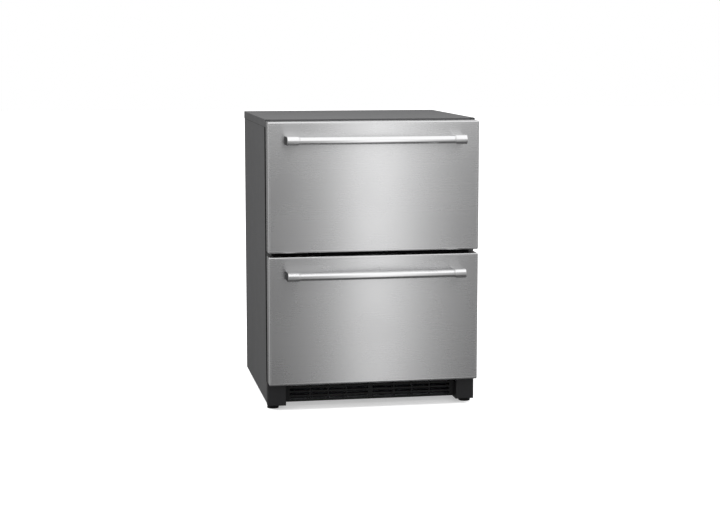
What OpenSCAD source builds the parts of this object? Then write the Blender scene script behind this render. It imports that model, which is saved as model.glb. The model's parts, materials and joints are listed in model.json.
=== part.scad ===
// Undercounter refrigerator with two drawers.
// Origin: floor level, centre of the outline seen from above. X right, Y back, Z up.

/* [Cabinet] */
// Overall width, over the skirt of the top cover
cab_w = 606; // [500:1:730]
// Depth of the cabinet shell, without the drawer fronts
cab_d = 551; // [500:1:665]
// Overall height with the feet screwed in
cab_h = 832; // [760:1:1000]
// Thickness of the painted sheet
sheet_t = 1; // [0.7:0.1:1.5]
// Height of the skirt that the top cover turns down
skirt_h = 22; // [15:1:30]
// Gap under the side panels
side_lift = 14; // [13:1:20]
// Width of the flanges at the panels' front and rear edges
flange_w = 14; // [12:1:18]

/* [Insulation and liner] */
// Foam at the sides
foam_side = 38; // [30:1:45]
// Foam under the cavity
foam_floor = 38; // [30:1:45]
// Foam over the cavity
foam_top = 39; // [30:1:45]
// Foam behind the cavity and round the compressor room
foam_back = 38; // [30:1:45]
// Thickness of the plastic liner
liner_t = 2; // [1.5:0.1:3]

/* [Drawer fronts] */
// Thickness of a drawer front
front_t = 44; // [36:1:55]
// Thickness of the brushed sheet on a front
skin_t = 1; // [0.6:0.1:1.5]
// Radius of the sheet's folded edges
skin_r = 5; // [3:0.5:8]
// Space between a front and the cabinet, filled by the seal
seal_gap = 12; // [10:0.5:15]
// Gap between the two fronts
split_gap = 10.5; // [8:0.5:14]
// Step from the cabinet's top down to the upper front
top_reveal = 5.5; // [3:0.5:8]
// Height of the lower front's bottom edge over the floor
toe_h = 79; // [75:1:100]

/* [Handles] */
// Length over the end posts
handle_len = 510; // [380:5:560]
// Diameter of the bar
bar_d = 22; // [16:1:25]
// Height of the end posts
post_h = 26; // [22:1:30]
// Length of each end post along the bar
post_len = 33; // [25:1:40]
// How far the handle stands out from the front
handle_reach = 58; // [50:1:70]
// Distance of the bar's axis below the front's top edge
handle_drop = 51; // [40:1:80]

/* [Drawers] */
// Width that the telescopic slide takes on each side
slide_w = 13; // [12.5:0.1:16]
// Height of the slide's cabinet rail
rail_h = 45; // [40:1:50]
// Sheet thickness of the slide's rails
rail_t = 1.2; // [1:0.1:1.5]
// Wall of the drawer bins
bin_t = 2.5; // [2:0.1:4]
// Height of a bin's floor over the front's bottom edge
bin_lift = 34; // [30:1:45]
// Distance of a bin's rim below the front's top edge
rim_drop = 68.5; // [65:0.5:100]

/* [Base] */
// Width of the corner blocks
block_w = 53; // [45:1:60]
// How far the corner blocks stand out from the cabinet
block_reach = 16; // [10:1:22]
// Depth of the grille behind the corner blocks' front
grille_recess = 28; // [15:1:40]
// Slot height in the grille
slot_h = 7; // [5:0.5:8]
// Pitch of the rows of slots
row_pitch = 12.5; // [11:0.5:14]
// Width of the bars between neighbouring slots
slot_bar = 4.3; // [3:0.1:6]
// Width of the grille's centre post
grille_post = 13; // [8:1:20]

/* [Feet] */
// Radius of the threaded studs
stud_r = 5; // [4:0.5:6]
// Radius of the foot pads
pad_r = 17; // [14:1:19]
// Thickness of the foot pads
pad_t = 8; // [6:0.5:8]

/* [Compressor room] */
// Depth of the room
room_d = 214; // [205:1:240]
// Height of the room's ceiling
room_h = 262; // [240:1:290]
// Radius of the compressor's can
can_r = 75; // [60:1:78]
// Depth of the recess in the rear access cover
cover_recess = 12; // [10:1:16]

/* [Hidden] */
$fn = 64;
eps = 0.1;

// Clearances
run_gap = 0.06;      // radial, a shaft turning in a bore
slide_gap = 0.5;     // between a slide's nested rails
seal_clear = 0.3;    // between the seal and the cabinet's face
face_clear = 0.3;    // between pieces that pass or turn on each other

// Fasteners
screw_r = 2;
screw_head_r = 4;
screw_head_h = 2;

// Planes, front to back
total_d = cab_d + seal_gap + front_t + handle_reach + screw_head_h;
back_y = total_d / 2;
shell_back = back_y - screw_head_h;
front_y = shell_back - cab_d;
inner_y = front_y - seal_gap;
face_y = inner_y - front_t;
handle_y = face_y - handle_reach;

// Cabinet cavity
shell_x = cab_w / 2 - sheet_t;
cav_x = shell_x - sheet_t - foam_side - liner_t;
plenum_z = toe_h - 19;
notch_y = front_y + grille_recess - block_reach + 14;
cav_z0 = plenum_z + sheet_t + foam_floor + liner_t;
cav_z1 = cab_h - sheet_t - foam_top - liner_t;
cav_y1 = shell_back - 2 * sheet_t - foam_back - liner_t;
frame_t = 1.5;
frame_x = shell_x - flange_w;
frame_top = cab_h - 12;
frame_bottom = toe_h - 1;

// Compressor room
room_y = shell_back - room_d;
step_y = room_y - foam_back - liner_t;
step_z = room_h + sheet_t + foam_back + liner_t;
base_t = 1.5;
base_top = side_lift + base_t;
base_y0 = front_y + 54;

// Drawer fronts
front_h = (cab_h - top_reveal - split_gap - toe_h) / 2;
lower_z = toe_h;
upper_z = toe_h + front_h + split_gap;
front_x = cab_w / 2;
skin_d = front_t - 3;
seal_w = 12;
seal_x = frame_x - 3;
seal_edge = 4;
mullion_z = upper_z - split_gap / 2;
mullion_half = 20.75;

// Bins and slides
evap_y = cav_y1 - 61.5;
bin_x = cav_x - slide_w;
bin_back = evap_y - 22;
rim_z = front_h - rim_drop;
rail_z = rim_z - 38;
rail_y0 = front_y + 4;
rail_y1 = evap_y - 2;
rail_screw_y = [rail_y0 + 40, (rail_y0 + rail_y1) / 2, rail_y1 - 40];
mid_half = rail_h / 2 - rail_t - slide_gap;
mid_x1 = cav_x - 3 * rail_t;
mid_x0 = bin_x + rail_t + 0.6;
in_half = mid_half - rail_t - slide_gap;
bin_step_y = step_y - 8;
bin_step_z = step_z + 6;

// Handle
post_x = handle_len / 2;
bar_y = handle_y + post_h / 2;
bar_x = post_x - post_len - 3;
handle_z = front_h - handle_drop;
handle_screw_r = 3;
handle_screw_len = 24;

// Feet
leg_front = [shell_x - 18, front_y + 21.5];
leg_rear = [shell_x - 32, shell_back - 36];
stud_z0 = 3;
stud_top = plenum_z - 4;
collar_z = pad_t + face_clear;
collar_h = 3.4;
block_z = 12;
block_front = front_y - block_reach;
block_x = cab_w / 2 - block_w;
nut_h = 12;

// Rear access cover and its fasteners, heights on the access cover and on the back panel
plate_y = shell_back - cover_recess - sheet_t;
cover_z0 = side_lift + 2;
cover_z1 = room_h + 24;
panel_top = cab_h - skirt_h;
rear_screw_z = [cover_z0 + 24, (cover_z0 + cover_z1) / 2, cover_z1 - 16,
  cover_z1 + 44, (cover_z1 + panel_top) / 2, panel_top - 30];
rear_screw_x = shell_x - flange_w / 2;

// Evaporator, its fan and its tray
coil_w = 2 * cav_x - 122;
coil_z0 = cav_z0 + 429;
coil_h = 150;
coil_y0 = cav_y1 - 51.5;
fan_z = coil_z0 + coil_h + 50;
evap_fan_r = 38;
evap_fan_y = evap_y + 11;
cover_low = coil_z0 - 50;
tray_z = coil_z0 - 30;
drain = [coil_w / 2 - 50, cav_y1 - 20];
drain_r = 7;

// Compressor, condenser and its fan
can = [-165, room_y + 104.5];
cond_x0 = 50;
cond_w = shell_x - cond_x0 - 42;
cond_cx = cond_x0 + cond_w / 2;
cond_z0 = base_top + 4;
cond_h = 190;
cond_d = 44;
cond_y0 = room_y + 13;
shroud_y = cond_y0 + cond_d + 4;
cond_fan_z = cond_z0 + cond_h / 2;
cond_fan_r = 74;
cond_motor_y = shroud_y + 34;
suction = [-cav_x + 9, cav_y1 - 8.5];
suction_r = 4;
gland = [-230, 60];

// Control housing
ctl_y = front_y + 30;
ctl_d = 80;
ctl_w = 190;
ctl_h = 24;
knob_x = -50;
knob_r = 10;
knob_pin_r = 3;

// ---------- shared shapes ----------

// A block centred on X, front at y = 0, with its front edges and corners rounded.
module soft_block(w, h, d, r) {
  intersection() {
    linear_extrude(h) round_front(w, d, r);
    translate([w / 2, 0, h / 2]) rotate([0, -90, 0]) linear_extrude(w) round_front(h, d, r);
  }
}

// Outline of width w and depth d whose two front corners have radius r.
module round_front(w, d, r) {
  translate([-w / 2, r]) square([w, d - r]);
  translate([r - w / 2, 0]) square([w - 2 * r, d]);
  for (s = [-1, 1]) translate([s * (w / 2 - r), r]) circle(r);
}

// A folded sheet box, open at the back.
module folded_pan(w, h, d, r, t) {
  difference() {
    soft_block(w, h, d, r);
    translate([0, t, t]) soft_block(w - 2 * t, h - 2 * t, d, r - t);
  }
}

// A rectangular ring lying in XZ, from x = -x1 to x1 and z0 to z1.
module ring_xz(x1, z0, z1, w, y0, d) {
  difference() {
    translate([-x1, y0, z0]) cube([2 * x1, d, z1 - z0]);
    translate([w - x1, y0 - eps, z0 + w]) cube([2 * (x1 - w), d + 2 * eps, z1 - z0 - 2 * w]);
  }
}

// A cylinder along Y whose front end is at p.
module rod_y(p, r, len) {
  translate(p) rotate([-90, 0, 0]) cylinder(r = r, h = len);
}

// A cylinder along X whose left end is at p.
module rod_x(p, r, len) {
  translate(p) rotate([0, 90, 0]) cylinder(r = r, h = len);
}

// Both sides at once: a copy and its mirror image.
module both_sides() {
  for (s = [0, 1]) mirror([s, 0, 0]) children();
}

// A tube run through the points, with round elbows.
module pipe(points, r) {
  for (i = [0 : len(points) - 2]) {
    step = points[i + 1] - points[i];
    run = norm(step);
    translate(points[i])
      rotate([0, acos(step[2] / run), atan2(step[1], step[0])])
        cylinder(r = r, h = run, $fn = 32);
  }
  for (i = [1 : len(points) - 2]) translate(points[i]) sphere(r * 1.06, $fn = 32);
}

// A tube coil with fins. End plates reach down by foot and back by rear.
module fin_coil(w, h, d, pitch, foot, rear) {
  rows = floor(h / 36);
  fins = floor((w - pitch) / pitch);
  for (i = [1 : fins]) translate([i * w / (fins + 1) - 0.4, 0, 0]) cube([0.8, d, h]);
  for (x = [0, w - 1.5]) translate([x, 0, -foot]) cube([1.5, d + rear, h + foot]);
  for (i = [0 : rows - 1], j = [0, 1])
    rod_x([0, d * (0.28 + 0.44 * j), (i + 0.5) * h / rows], 4, w);
}

// Fan wheel about the Y axis, hub from y = 0 to depth.
module fan_wheel(r, hub_r, depth, blades, bore_r) {
  difference() {
    union() {
      rod_y([0, 0, 0], hub_r, depth);
      for (i = [0 : blades - 1])
        rotate([0, i * 360 / blades, 0])
          translate([hub_r - 2, depth / 2, 0])
            rotate([32, 0, 0])
              translate([0, -0.8, -r * 0.26]) cube([r - hub_r, 1.6, r * 0.52]);
    }
    rod_y([0, -eps, 0], bore_r, depth + 2 * eps);
  }
}

// ---------- cabinet shell ----------

module side_panel() {
  top = cab_h - 2 * sheet_t - 0.2;
  difference() {
    union() {
      translate([shell_x - sheet_t, front_y + sheet_t, side_lift])
        cube([sheet_t, cab_d - 2 * sheet_t, top - side_lift]);
      translate([shell_x - flange_w, front_y, frame_bottom])
        cube([flange_w, sheet_t, frame_top - frame_bottom]);
      translate([shell_x - flange_w, shell_back - 2 * sheet_t, side_lift])
        cube([flange_w, sheet_t, panel_top - side_lift]);
    }
    for (z = rear_screw_z)
      rod_y([rear_screw_x, shell_back - 2 * sheet_t - eps, z], screw_r, sheet_t + 2 * eps);
  }
}

module side_panels() {
  color("#5b5b5e") both_sides() side_panel();
}

// A plate with skirts, its front skirt cut short at the top of the face frame.
module top_cover() {
  color("#767679") difference() {
    translate([0, front_y, cab_h]) rotate([-90, 0, 0])
      folded_pan(cab_w, cab_d, skirt_h, 2, sheet_t);
    translate([-cab_w / 2 - eps, front_y - eps, 0])
      cube([cab_w + 2 * eps, sheet_t + 2 * eps, frame_top]);
  }
}

module back_panel() {
  color("#9a9a9c") difference() {
    translate([-shell_x, shell_back - sheet_t, cover_z1])
      cube([2 * shell_x, sheet_t, panel_top - cover_z1]);
    rear_screw_holes();
  }
}

module rear_screw_holes() {
  both_sides() for (z = rear_screw_z)
    rod_y([rear_screw_x, shell_back - sheet_t - eps, z], screw_r, sheet_t + 2 * eps);
}

module rear_access_cover() {
  in_x = frame_x - 0.2;
  in_z0 = cover_z0 + flange_w;
  in_z1 = room_h - 1;
  wall = 1.4;
  color("#8a8a8c") difference() {
    union() {
      translate([-shell_x, shell_back - sheet_t, cover_z0])
        cube([2 * shell_x, sheet_t, cover_z1 - 0.5 - cover_z0]);
      translate([-in_x, plate_y, in_z0])
        cube([2 * in_x, cover_recess + sheet_t / 2, in_z1 - in_z0]);
    }
    translate([wall - in_x, plate_y + sheet_t, in_z0 + wall])
      cube([2 * (in_x - wall), cover_recess + eps, in_z1 - in_z0 - 2 * wall]);
    for (c = [-1, 0, 1], i = [0 : 8])
      translate([c * 150 - 55, plate_y - eps, cover_z0 + 66 + i * 18])
        cube([110, sheet_t + 2 * eps, 7]);
    rod_y([gland[0], plate_y - eps, gland[1]], 8, sheet_t + 2 * eps);
    rear_screw_holes();
  }
}

module base_pan() {
  w = shell_x - sheet_t;
  color("#4c4c4e") difference() {
    union() {
      translate([-w, base_y0, side_lift])
        cube([2 * w, shell_back - 2 * sheet_t - base_y0, base_t]);
      both_sides() translate([w - base_t, base_y0, side_lift])
        cube([base_t, shell_back - 2 * sheet_t - base_y0, 22]);
    }
    both_sides() translate([leg_rear[0], leg_rear[1], side_lift - eps])
      cylinder(r = stud_r + 0.5, h = base_t + 2 * eps);
  }
}

module compressor_room_wall() {
  w = shell_x - sheet_t;
  rear = shell_back - 2 * sheet_t;
  color("#a8a8aa") difference() {
    union() {
      translate([-w, front_y + frame_t, frame_bottom - sheet_t])
        cube([2 * w, notch_y - front_y - frame_t, sheet_t]);
      translate([-w, notch_y - sheet_t, plenum_z])
        cube([2 * w, sheet_t, frame_bottom - plenum_z]);
      translate([-w, notch_y - sheet_t, plenum_z])
        cube([2 * w, room_y + 2 * sheet_t - notch_y, sheet_t]);
      translate([-w, room_y, plenum_z]) cube([2 * w, sheet_t, room_h + sheet_t - plenum_z]);
      translate([-w, room_y, room_h]) cube([2 * w, rear - room_y, sheet_t]);
    }
    pipe_holes(room_h - eps, sheet_t + 2 * eps);
  }
}

// The holes through which the drain and the suction line leave the cavity.
module pipe_holes(z, h) {
  translate([drain[0], drain[1], z]) cylinder(r = drain_r + 0.2, h = h);
  translate([suction[0], suction[1], z]) cylinder(r = suction_r + 0.2, h = h);
}

// The cavity grown by t on every wall, open at the front.
module cavity(t) {
  difference() {
    translate([-cav_x - t, front_y, cav_z0 - t])
      cube([2 * (cav_x + t), cav_y1 + t - front_y, cav_z1 - cav_z0 + 2 * t]);
    translate([-cav_x - t - eps, step_y + t, cav_z0 - t - eps])
      cube([2 * (cav_x + t + eps), cav_y1 - step_y + eps, step_z - cav_z0 + eps]);
  }
}

module insulation() {
  w = shell_x - sheet_t;
  rear = shell_back - 2 * sheet_t;
  y0 = front_y + frame_t;
  z0 = plenum_z + sheet_t;
  color("#e8dfb8") difference() {
    translate([-w, y0, z0]) cube([2 * w, rear - y0, cab_h - sheet_t - 0.2 - z0]);
    cavity(liner_t);
    translate([-w - eps, room_y, z0 - eps])
      cube([2 * (w + eps), rear - room_y + eps, room_h + sheet_t - z0 + eps]);
    translate([-w - eps, y0 - eps, z0 - eps])
      cube([2 * (w + eps), notch_y - y0 + eps, frame_bottom - z0 + eps]);
    pipe_holes(room_h, step_z - room_h);
  }
}

module liner() {
  color("#e9ebec") difference() {
    intersection() {
      cavity(liner_t);
      translate([-cab_w, front_y + frame_t, 0]) cube([2 * cab_w, cab_d, cab_h]);
    }
    cavity(0);
    pipe_holes(step_z - liner_t - eps, liner_t + 2 * eps);
    rail_screws(screw_r, 0);
  }
}

// The shanks of the screws that hold the cabinet rails, as holes or as solids.
module rail_screws(r, head) {
  both_sides() for (z = [lower_z, upper_z], y = rail_screw_y) {
    rod_x([cav_x - rail_t, y, z + rail_z], r, rail_t + liner_t);
    if (head > 0)
      rod_x([cav_x - rail_t - head, y, z + rail_z], screw_head_r, head);
  }
}

module face_frame() {
  color("#55555a") difference() {
    translate([-frame_x, front_y, frame_bottom])
      cube([2 * frame_x, frame_t, frame_top - frame_bottom]);
    for (z = [[cav_z0, mullion_z - mullion_half], [mullion_z + mullion_half, cav_z1]])
      translate([-cav_x, front_y - eps, z[0]])
        cube([2 * cav_x, frame_t + 2 * eps, z[1] - z[0]]);
  }
}

module mullion_bar() {
  h = 2 * mullion_half - 4;
  color("#cfd1d2")
    translate([0, front_y + 46, mullion_z + h / 2]) rotate([180, 0, 0])
      soft_block(2 * cav_x, h, 46 - frame_t, 6);
}

// ---------- base ----------

// Left and right edges of the slots on one side of the centre post.
function slot_edges() =
  let (inner = grille_post / 2, outer = block_x - 14, span = outer - inner,
    wide = [0.27, 0.23, 0.23, 0.27])
  [for (i = [0 : 3])
    let (a = inner + span * (i == 0 ? 0 : i == 1 ? wide[0] : i == 2 ? 0.5 : 1 - wide[3]))
    [a + (i == 0 ? 0 : slot_bar), inner + span * (i == 0 ? wide[0]
      : i == 1 ? 0.5 : i == 2 ? 1 - wide[3] : 1)]];

module toe_grille() {
  y = block_front + grille_recess;
  z0 = 17;
  z1 = frame_bottom - 1;
  color("#1d1e20") difference() {
    translate([-block_x, y, z0]) cube([2 * block_x, 12, z1 - z0]);
    both_sides() for (e = slot_edges(), i = [0 : 3])
      translate([e[0], y - eps, z0 + 6.5 + i * row_pitch])
        cube([e[1] - e[0], 12 + 2 * eps, slot_h]);
    translate([-block_x + 6, y + 6, z0 + 4]) cube([2 * block_x - 12, 6 + eps, z1 - z0 - 8]);
  }
  color("#1d1e20") for (i = [0 : 2])
    translate([-block_x + 6, y + 6, z0 + 6.5 + slot_h + i * row_pitch])
      cube([2 * block_x - 12, 6, row_pitch - slot_h]);
}

module corner_block() {
  top = frame_bottom - 1;
  difference() {
    union() {
      intersection() {
        translate([block_x + block_w / 2, block_front, block_z])
          soft_block(block_w, top - block_z, block_w, 4);
        translate([block_x, block_front, block_z]) cube([block_w, block_reach, top - block_z]);
      }
      translate([block_x, front_y - eps, block_z])
        cube([shell_x - sheet_t - block_x, base_y0 - front_y + eps, plenum_z - block_z]);
      translate([shell_x, front_y - eps, block_z])
        cube([sheet_t, 12 + eps, top - block_z]);
    }
    translate([leg_front[0], leg_front[1], block_z - eps])
      cylinder(r = stud_r + run_gap, h = plenum_z - block_z + 2 * eps);
  }
}

module corner_blocks() {
  color("#26272a") both_sides() corner_block();
}

module leg_nuts() {
  color("#b9babc") both_sides() translate([leg_rear[0], leg_rear[1], base_top]) difference() {
    cylinder(r = 11, h = nut_h, $fn = 6);
    translate([0, 0, -eps]) cylinder(r = stud_r + run_gap, h = nut_h + 2 * eps);
  }
}

// A foot pad: a flat disc with a chamfer and the stud's socket.
module foot_pad() {
  color("#17181a") difference() {
    rotate_extrude() polygon([[0, 0], [pad_r, 0], [pad_r, pad_t - 3], [pad_r - 5, pad_t],
      [0, pad_t]]);
    translate([0, 0, stud_z0 - face_clear]) cylinder(r = stud_r + run_gap, h = pad_t);
  }
}

// A threaded stud with the hexagon that a spanner turns.
module foot_stud() {
  color("#b5b6b8") {
    translate([0, 0, stud_z0]) cylinder(r = stud_r, h = stud_top - stud_z0);
    translate([0, 0, collar_z]) cylinder(r = 9.5, h = collar_h, $fn = 6);
  }
}

// ---------- inside the cavity ----------

module evaporator_cover() {
  x1 = cav_x - 0.2;
  z1 = cav_z1 - 4;
  color("#dfe2e4") difference() {
    union() {
      translate([-x1, evap_y, cover_low]) cube([2 * x1, 3, z1 - cover_low]);
      both_sides() translate([x1 - 2, evap_y, cover_low])
        cube([2, cav_y1 - evap_y, z1 - cover_low]);
    }
    difference() {
      rod_y([0, evap_y - eps, fan_z], evap_fan_r + 4, 3 + 2 * eps);
      for (a = [0, 60, 120]) translate([0, evap_y - 1, fan_z]) rotate([0, a, 0])
        translate([-60, 0, -1.5]) cube([120, 5, 3]);
      rod_y([0, evap_y - 1, fan_z], 12, 5);
    }
    for (x = [-180, -90, 0, 90, 180], i = [0 : 3])
      translate([x * coil_w / 400 - 35, evap_y - eps, cover_low + 14 + i * 12])
        cube([70, 3 + 2 * eps, 5]);
  }
}

module evaporator_coil() {
  color("#c9cdd0") translate([-coil_w / 2, coil_y0, coil_z0])
    fin_coil(coil_w, coil_h, 45, 14, 0, cav_y1 - coil_y0 - 45);
}

module drip_tray() {
  x1 = coil_w / 2 - 6;
  y0 = evap_y + 3 + face_clear;
  color("#d5d8da") {
    difference() {
      union() {
        translate([-x1, y0, tray_z]) cube([2 * x1, cav_y1 - y0, 15]);
        translate([drain[0], drain[1], base_top + 44.5])
          cylinder(r = drain_r, h = tray_z + 2 - base_top - 44.5);
      }
      translate([2 - x1, y0 + 2, tray_z + 2]) cube([2 * x1 - 4, cav_y1 - y0 - 4, 20]);
      translate([drain[0], drain[1], 0]) cylinder(r = drain_r - 2, h = tray_z + 5);
    }
  }
}

// A motor about Y whose shaft points to the front; its body starts at y = 0.
module motor(r, len, shaft_r, shaft_len) {
  rod_y([0, 0, 0], r, len);
  rod_y([0, -4, 0], r * 0.4, 4);
  rod_y([0, -shaft_len, 0], shaft_r, shaft_len);
}

module fan_motors() {
  color("#3f4246") {
    translate([0, evap_fan_y + 20, fan_z]) {
      motor(20, 20, 2.5, 18);
      for (s = [-1, 1]) rod_y([s * 13, 19, 0], 4, cav_y1 - evap_fan_y - 39);
    }
    translate([cond_cx, cond_motor_y, cond_fan_z]) {
      motor(30, 38, 3, 26);
      for (a = [45 : 90 : 315]) rotate([0, a, 0]) {
        translate([26, 0, -5]) cube([62, 4, 10]);
        translate([84, shroud_y + 2 - cond_motor_y, -5])
          cube([4, cond_motor_y - shroud_y, 10]);
      }
    }
  }
}

module evaporator_fan() {
  color("#e4e6e7") translate([0, evap_fan_y, fan_z])
    fan_wheel(evap_fan_r, 13, 15, 5, 2.5 + run_gap);
}

module condenser_fan() {
  color("#2b2d30") translate([cond_cx, shroud_y + 6, cond_fan_z])
    fan_wheel(cond_fan_r, 22, 22, 5, 3 + run_gap);
}

module control_housing() {
  z0 = cav_z1 - ctl_h;
  color("#d9dcde") {
    difference() {
      translate([0, ctl_y, z0]) soft_block(ctl_w, ctl_h, ctl_d, 4);
      translate([8 - ctl_w / 2, ctl_y + 8, z0 + 3]) cube([ctl_w - 16, ctl_d - 16, ctl_h - 6]);
    }
    rod_y([knob_x, ctl_y - 9, z0 + ctl_h / 2], knob_pin_r, 12);
  }
}

module thermostat_knob() {
  color("#f2f3f3") translate([knob_x, ctl_y - 12, cav_z1 - ctl_h / 2]) difference() {
    union() {
      rod_y([0, 0, 0], knob_r * 0.86, 12 - face_clear);
      rod_y([0, 7, 0], knob_r, 5 - face_clear);
      translate([-1.5, -1.6, -knob_r * 0.8]) cube([3, 4, knob_r * 1.6]);
    }
    rod_y([0, 3 - face_clear, 0], knob_pin_r + run_gap, 12);
  }
}

module led_lamp() {
  color("#fdfbf0") translate([45, ctl_y - 2.5, cav_z1 - ctl_h + 5])
    soft_block(76, ctl_h - 10, 2.5, 1.2);
}

// A C-shaped rail along Y: its web is at x = web, its flanges end at x = tip.
module c_rail(web, tip, half, y0, y1) {
  x0 = min(web, tip);
  span = abs(web - tip);
  len = y1 - y0;
  translate([web > tip ? web - rail_t : web, y0, -half]) cube([rail_t, len, 2 * half]);
  for (z = [-half, half - rail_t]) translate([x0, y0, z]) cube([span, len, rail_t]);
}

module cabinet_slide_rails() {
  color("#b4b6b8") difference() {
    both_sides() for (z = [lower_z, upper_z]) translate([0, 0, z + rail_z])
      c_rail(cav_x, cav_x - 11, rail_h / 2, rail_y0, rail_y1);
    rail_screws(screw_r, 0);
  }
}

module cabinet_screws() {
  color("#8f9193") {
    rail_screws(screw_r, 1.8);
    both_sides() for (z = rear_screw_z) {
      rod_y([rear_screw_x, shell_back, z], screw_head_r, screw_head_h);
      rod_y([rear_screw_x, shell_back - 2 * sheet_t, z], screw_r, 2 * sheet_t);
    }
  }
}

// ---------- compressor room ----------

// The compressor's can alone, with a dome at each end.
module compressor_can() {
  dome = 28;
  ball = (can_r * can_r + dome * dome) / (2 * dome);
  z0 = 58;
  z1 = 150;
  translate([can[0], can[1], 0]) {
    translate([0, 0, z0]) cylinder(r = can_r, h = z1 - z0);
    translate([0, 0, 98]) cylinder(r = can_r + 3, h = 4);
    intersection() {
      translate([0, 0, z1 + dome - ball]) sphere(ball);
      translate([0, 0, z1]) cylinder(r = can_r, h = dome + 1);
    }
    intersection() {
      translate([0, 0, z0 - dome + ball]) sphere(ball);
      translate([0, 0, z0 - dome - 1]) cylinder(r = can_r, h = dome + 1);
    }
  }
}

// Places of the compressor's rubber mounts.
module at_grommets() {
  for (x = [-82, 82], y = [-48, 48]) translate([can[0] + x, can[1] + y, 0]) children();
}

module compressor() {
  color("#222326") {
    compressor_can();
    difference() {
      translate([can[0] - 98, can[1] - 62, 34]) cube([196, 124, 3]);
      at_grommets() cylinder(r = 8, h = 60);
    }
  }
}

module compressor_grommets() {
  color("#34363a") at_grommets() {
    translate([0, 0, base_top]) cylinder(r = 13, h = 34 - base_top);
    translate([0, 0, 33]) cylinder(r = 8, h = 5);
    translate([0, 0, 37]) cylinder(r = 11.5, h = 4);
  }
}

module compressor_relay_box() {
  color("#3a3c40") difference() {
    translate([can[0] - 26, can[1] - can_r - 20, 106]) cube([52, 30, 40]);
    translate([can[0], can[1], 0]) cylinder(r = can_r + 0.2, h = 200);
  }
}

module condenser_coil() {
  color("#2f3133") translate([cond_x0, cond_y0, cond_z0])
    fin_coil(cond_w, cond_h, cond_d, 9, cond_z0 - base_top, 0);
}

module condenser_fan_shroud() {
  color("#303236") difference() {
    union() {
      translate([cond_x0, shroud_y, base_top]) cube([cond_w, 2, cond_h + 8]);
      rod_y([cond_cx, shroud_y, cond_fan_z], cond_fan_r + 6, 22);
      both_sides_of(cond_cx) translate([cond_w / 2 - 2, cond_y0 + cond_d, base_top])
        cube([2, shroud_y - cond_y0 - cond_d + 1, cond_h]);
    }
    rod_y([cond_cx, shroud_y - eps, cond_fan_z], cond_fan_r + 4, 22 + 2 * eps);
  }
}

// A copy and its mirror image about the plane x = c.
module both_sides_of(c) {
  for (s = [0, 1]) translate([c, 0, 0]) mirror([s, 0, 0]) children();
}

module refrigerant_lines() {
  in_y = cond_y0 + cond_d * 0.28;
  low = cond_z0 + cond_h * 0.1;
  high = cond_z0 + cond_h * 0.5;
  drier_x = 0;
  color("#b0703f") {
    pipe([[can[0] + can_r, can[1], high], [cond_x0 - 30, can[1], high],
      [cond_x0 - 30, in_y, high], [cond_x0, in_y, high]], 3);
    pipe([[-coil_w / 2, suction[1], coil_z0 + 12], [suction[0], suction[1], coil_z0 + 12],
      [suction[0], suction[1], 120], [suction[0], can[1], 120],
      [can[0] - can_r, can[1], 120]], suction_r);
    pipe([[cond_x0, in_y, low], [drier_x, in_y, low], [drier_x, in_y, 70]], 3);
    translate([drier_x, in_y, 66]) cylinder(r = 9, h = 84);
    pipe([[drier_x, in_y, 149], [drier_x, in_y, 205], [drier_x, suction[1], 205],
      [suction[0] + suction_r - 0.5, suction[1], 205]], 1.5);
  }
}

module condensate_pan() {
  x0 = drain[0] - 55;
  y0 = cond_motor_y + 46;
  d = plate_y - 7 - y0;
  color("#47494c") difference() {
    translate([x0, y0, base_top]) cube([150, d, 30]);
    translate([x0 + 2, y0 + 2, base_top + 2]) cube([146, d - 4, 40]);
  }
}

module power_gland() {
  color("#1b1c1e") difference() {
    union() {
      rod_y([gland[0], plate_y - 8, gland[1]], 8, cover_recess + 6);
      rod_y([gland[0], plate_y + sheet_t, gland[1]], 13, 4);
      translate([0, plate_y - 5, 0]) translate([gland[0], 0, gland[1]])
        rotate([-90, 0, 0]) cylinder(r = 13, h = 5, $fn = 6);
    }
    rod_y([gland[0], plate_y - 8 - eps, gland[1]], 4.5, cover_recess + 6 + 2 * eps);
  }
}

// ---------- drawers, each with z = 0 at its front's bottom edge ----------

// The two screws that hold a handle, as holes or, with a head, as solids.
module handle_screws(r, head) {
  for (s = [-1, 1]) translate([s * (post_x - post_len / 2), 0, handle_z]) {
    rod_y([0, face_y + skin_t - handle_screw_len, 0], r, handle_screw_len);
    if (head > 0) rod_y([0, face_y + skin_t, 0], head, 5);
  }
}

module front_skin() {
  color("#b9bbbd") difference() {
    translate([0, face_y, 0]) folded_pan(2 * front_x, front_h, skin_d, skin_r, skin_t);
    handle_screws(handle_screw_r, 0);
  }
}

module front_foam() {
  color("#e8dfb8") difference() {
    translate([0, face_y + skin_t, skin_t])
      soft_block(2 * (front_x - skin_t), front_h - 2 * skin_t, skin_d - skin_t,
        skin_r - skin_t);
    handle_screws(handle_screw_r, 7);
  }
}

module front_inner_panel() {
  color("#d6d9db") {
    translate([-front_x + skin_t, face_y + skin_d, skin_t])
      cube([2 * (front_x - skin_t), front_t - skin_d, front_h - 2 * skin_t]);
  }
}

module seal() {
  z0 = seal_edge;
  z1 = front_h - seal_edge;
  color("#2c2d30") {
    ring_xz(seal_x, z0, z1, seal_w, inner_y, 4);
    ring_xz(seal_x - 1.5, z0 + 1.5, z1 - 1.5, seal_w - 3, inner_y + 3,
      seal_gap - seal_clear - 3);
  }
}

module handle_bar() {
  color("#d3d5d7") rod_x([-bar_x, bar_y, handle_z], bar_d / 2, 2 * bar_x);
}

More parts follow.
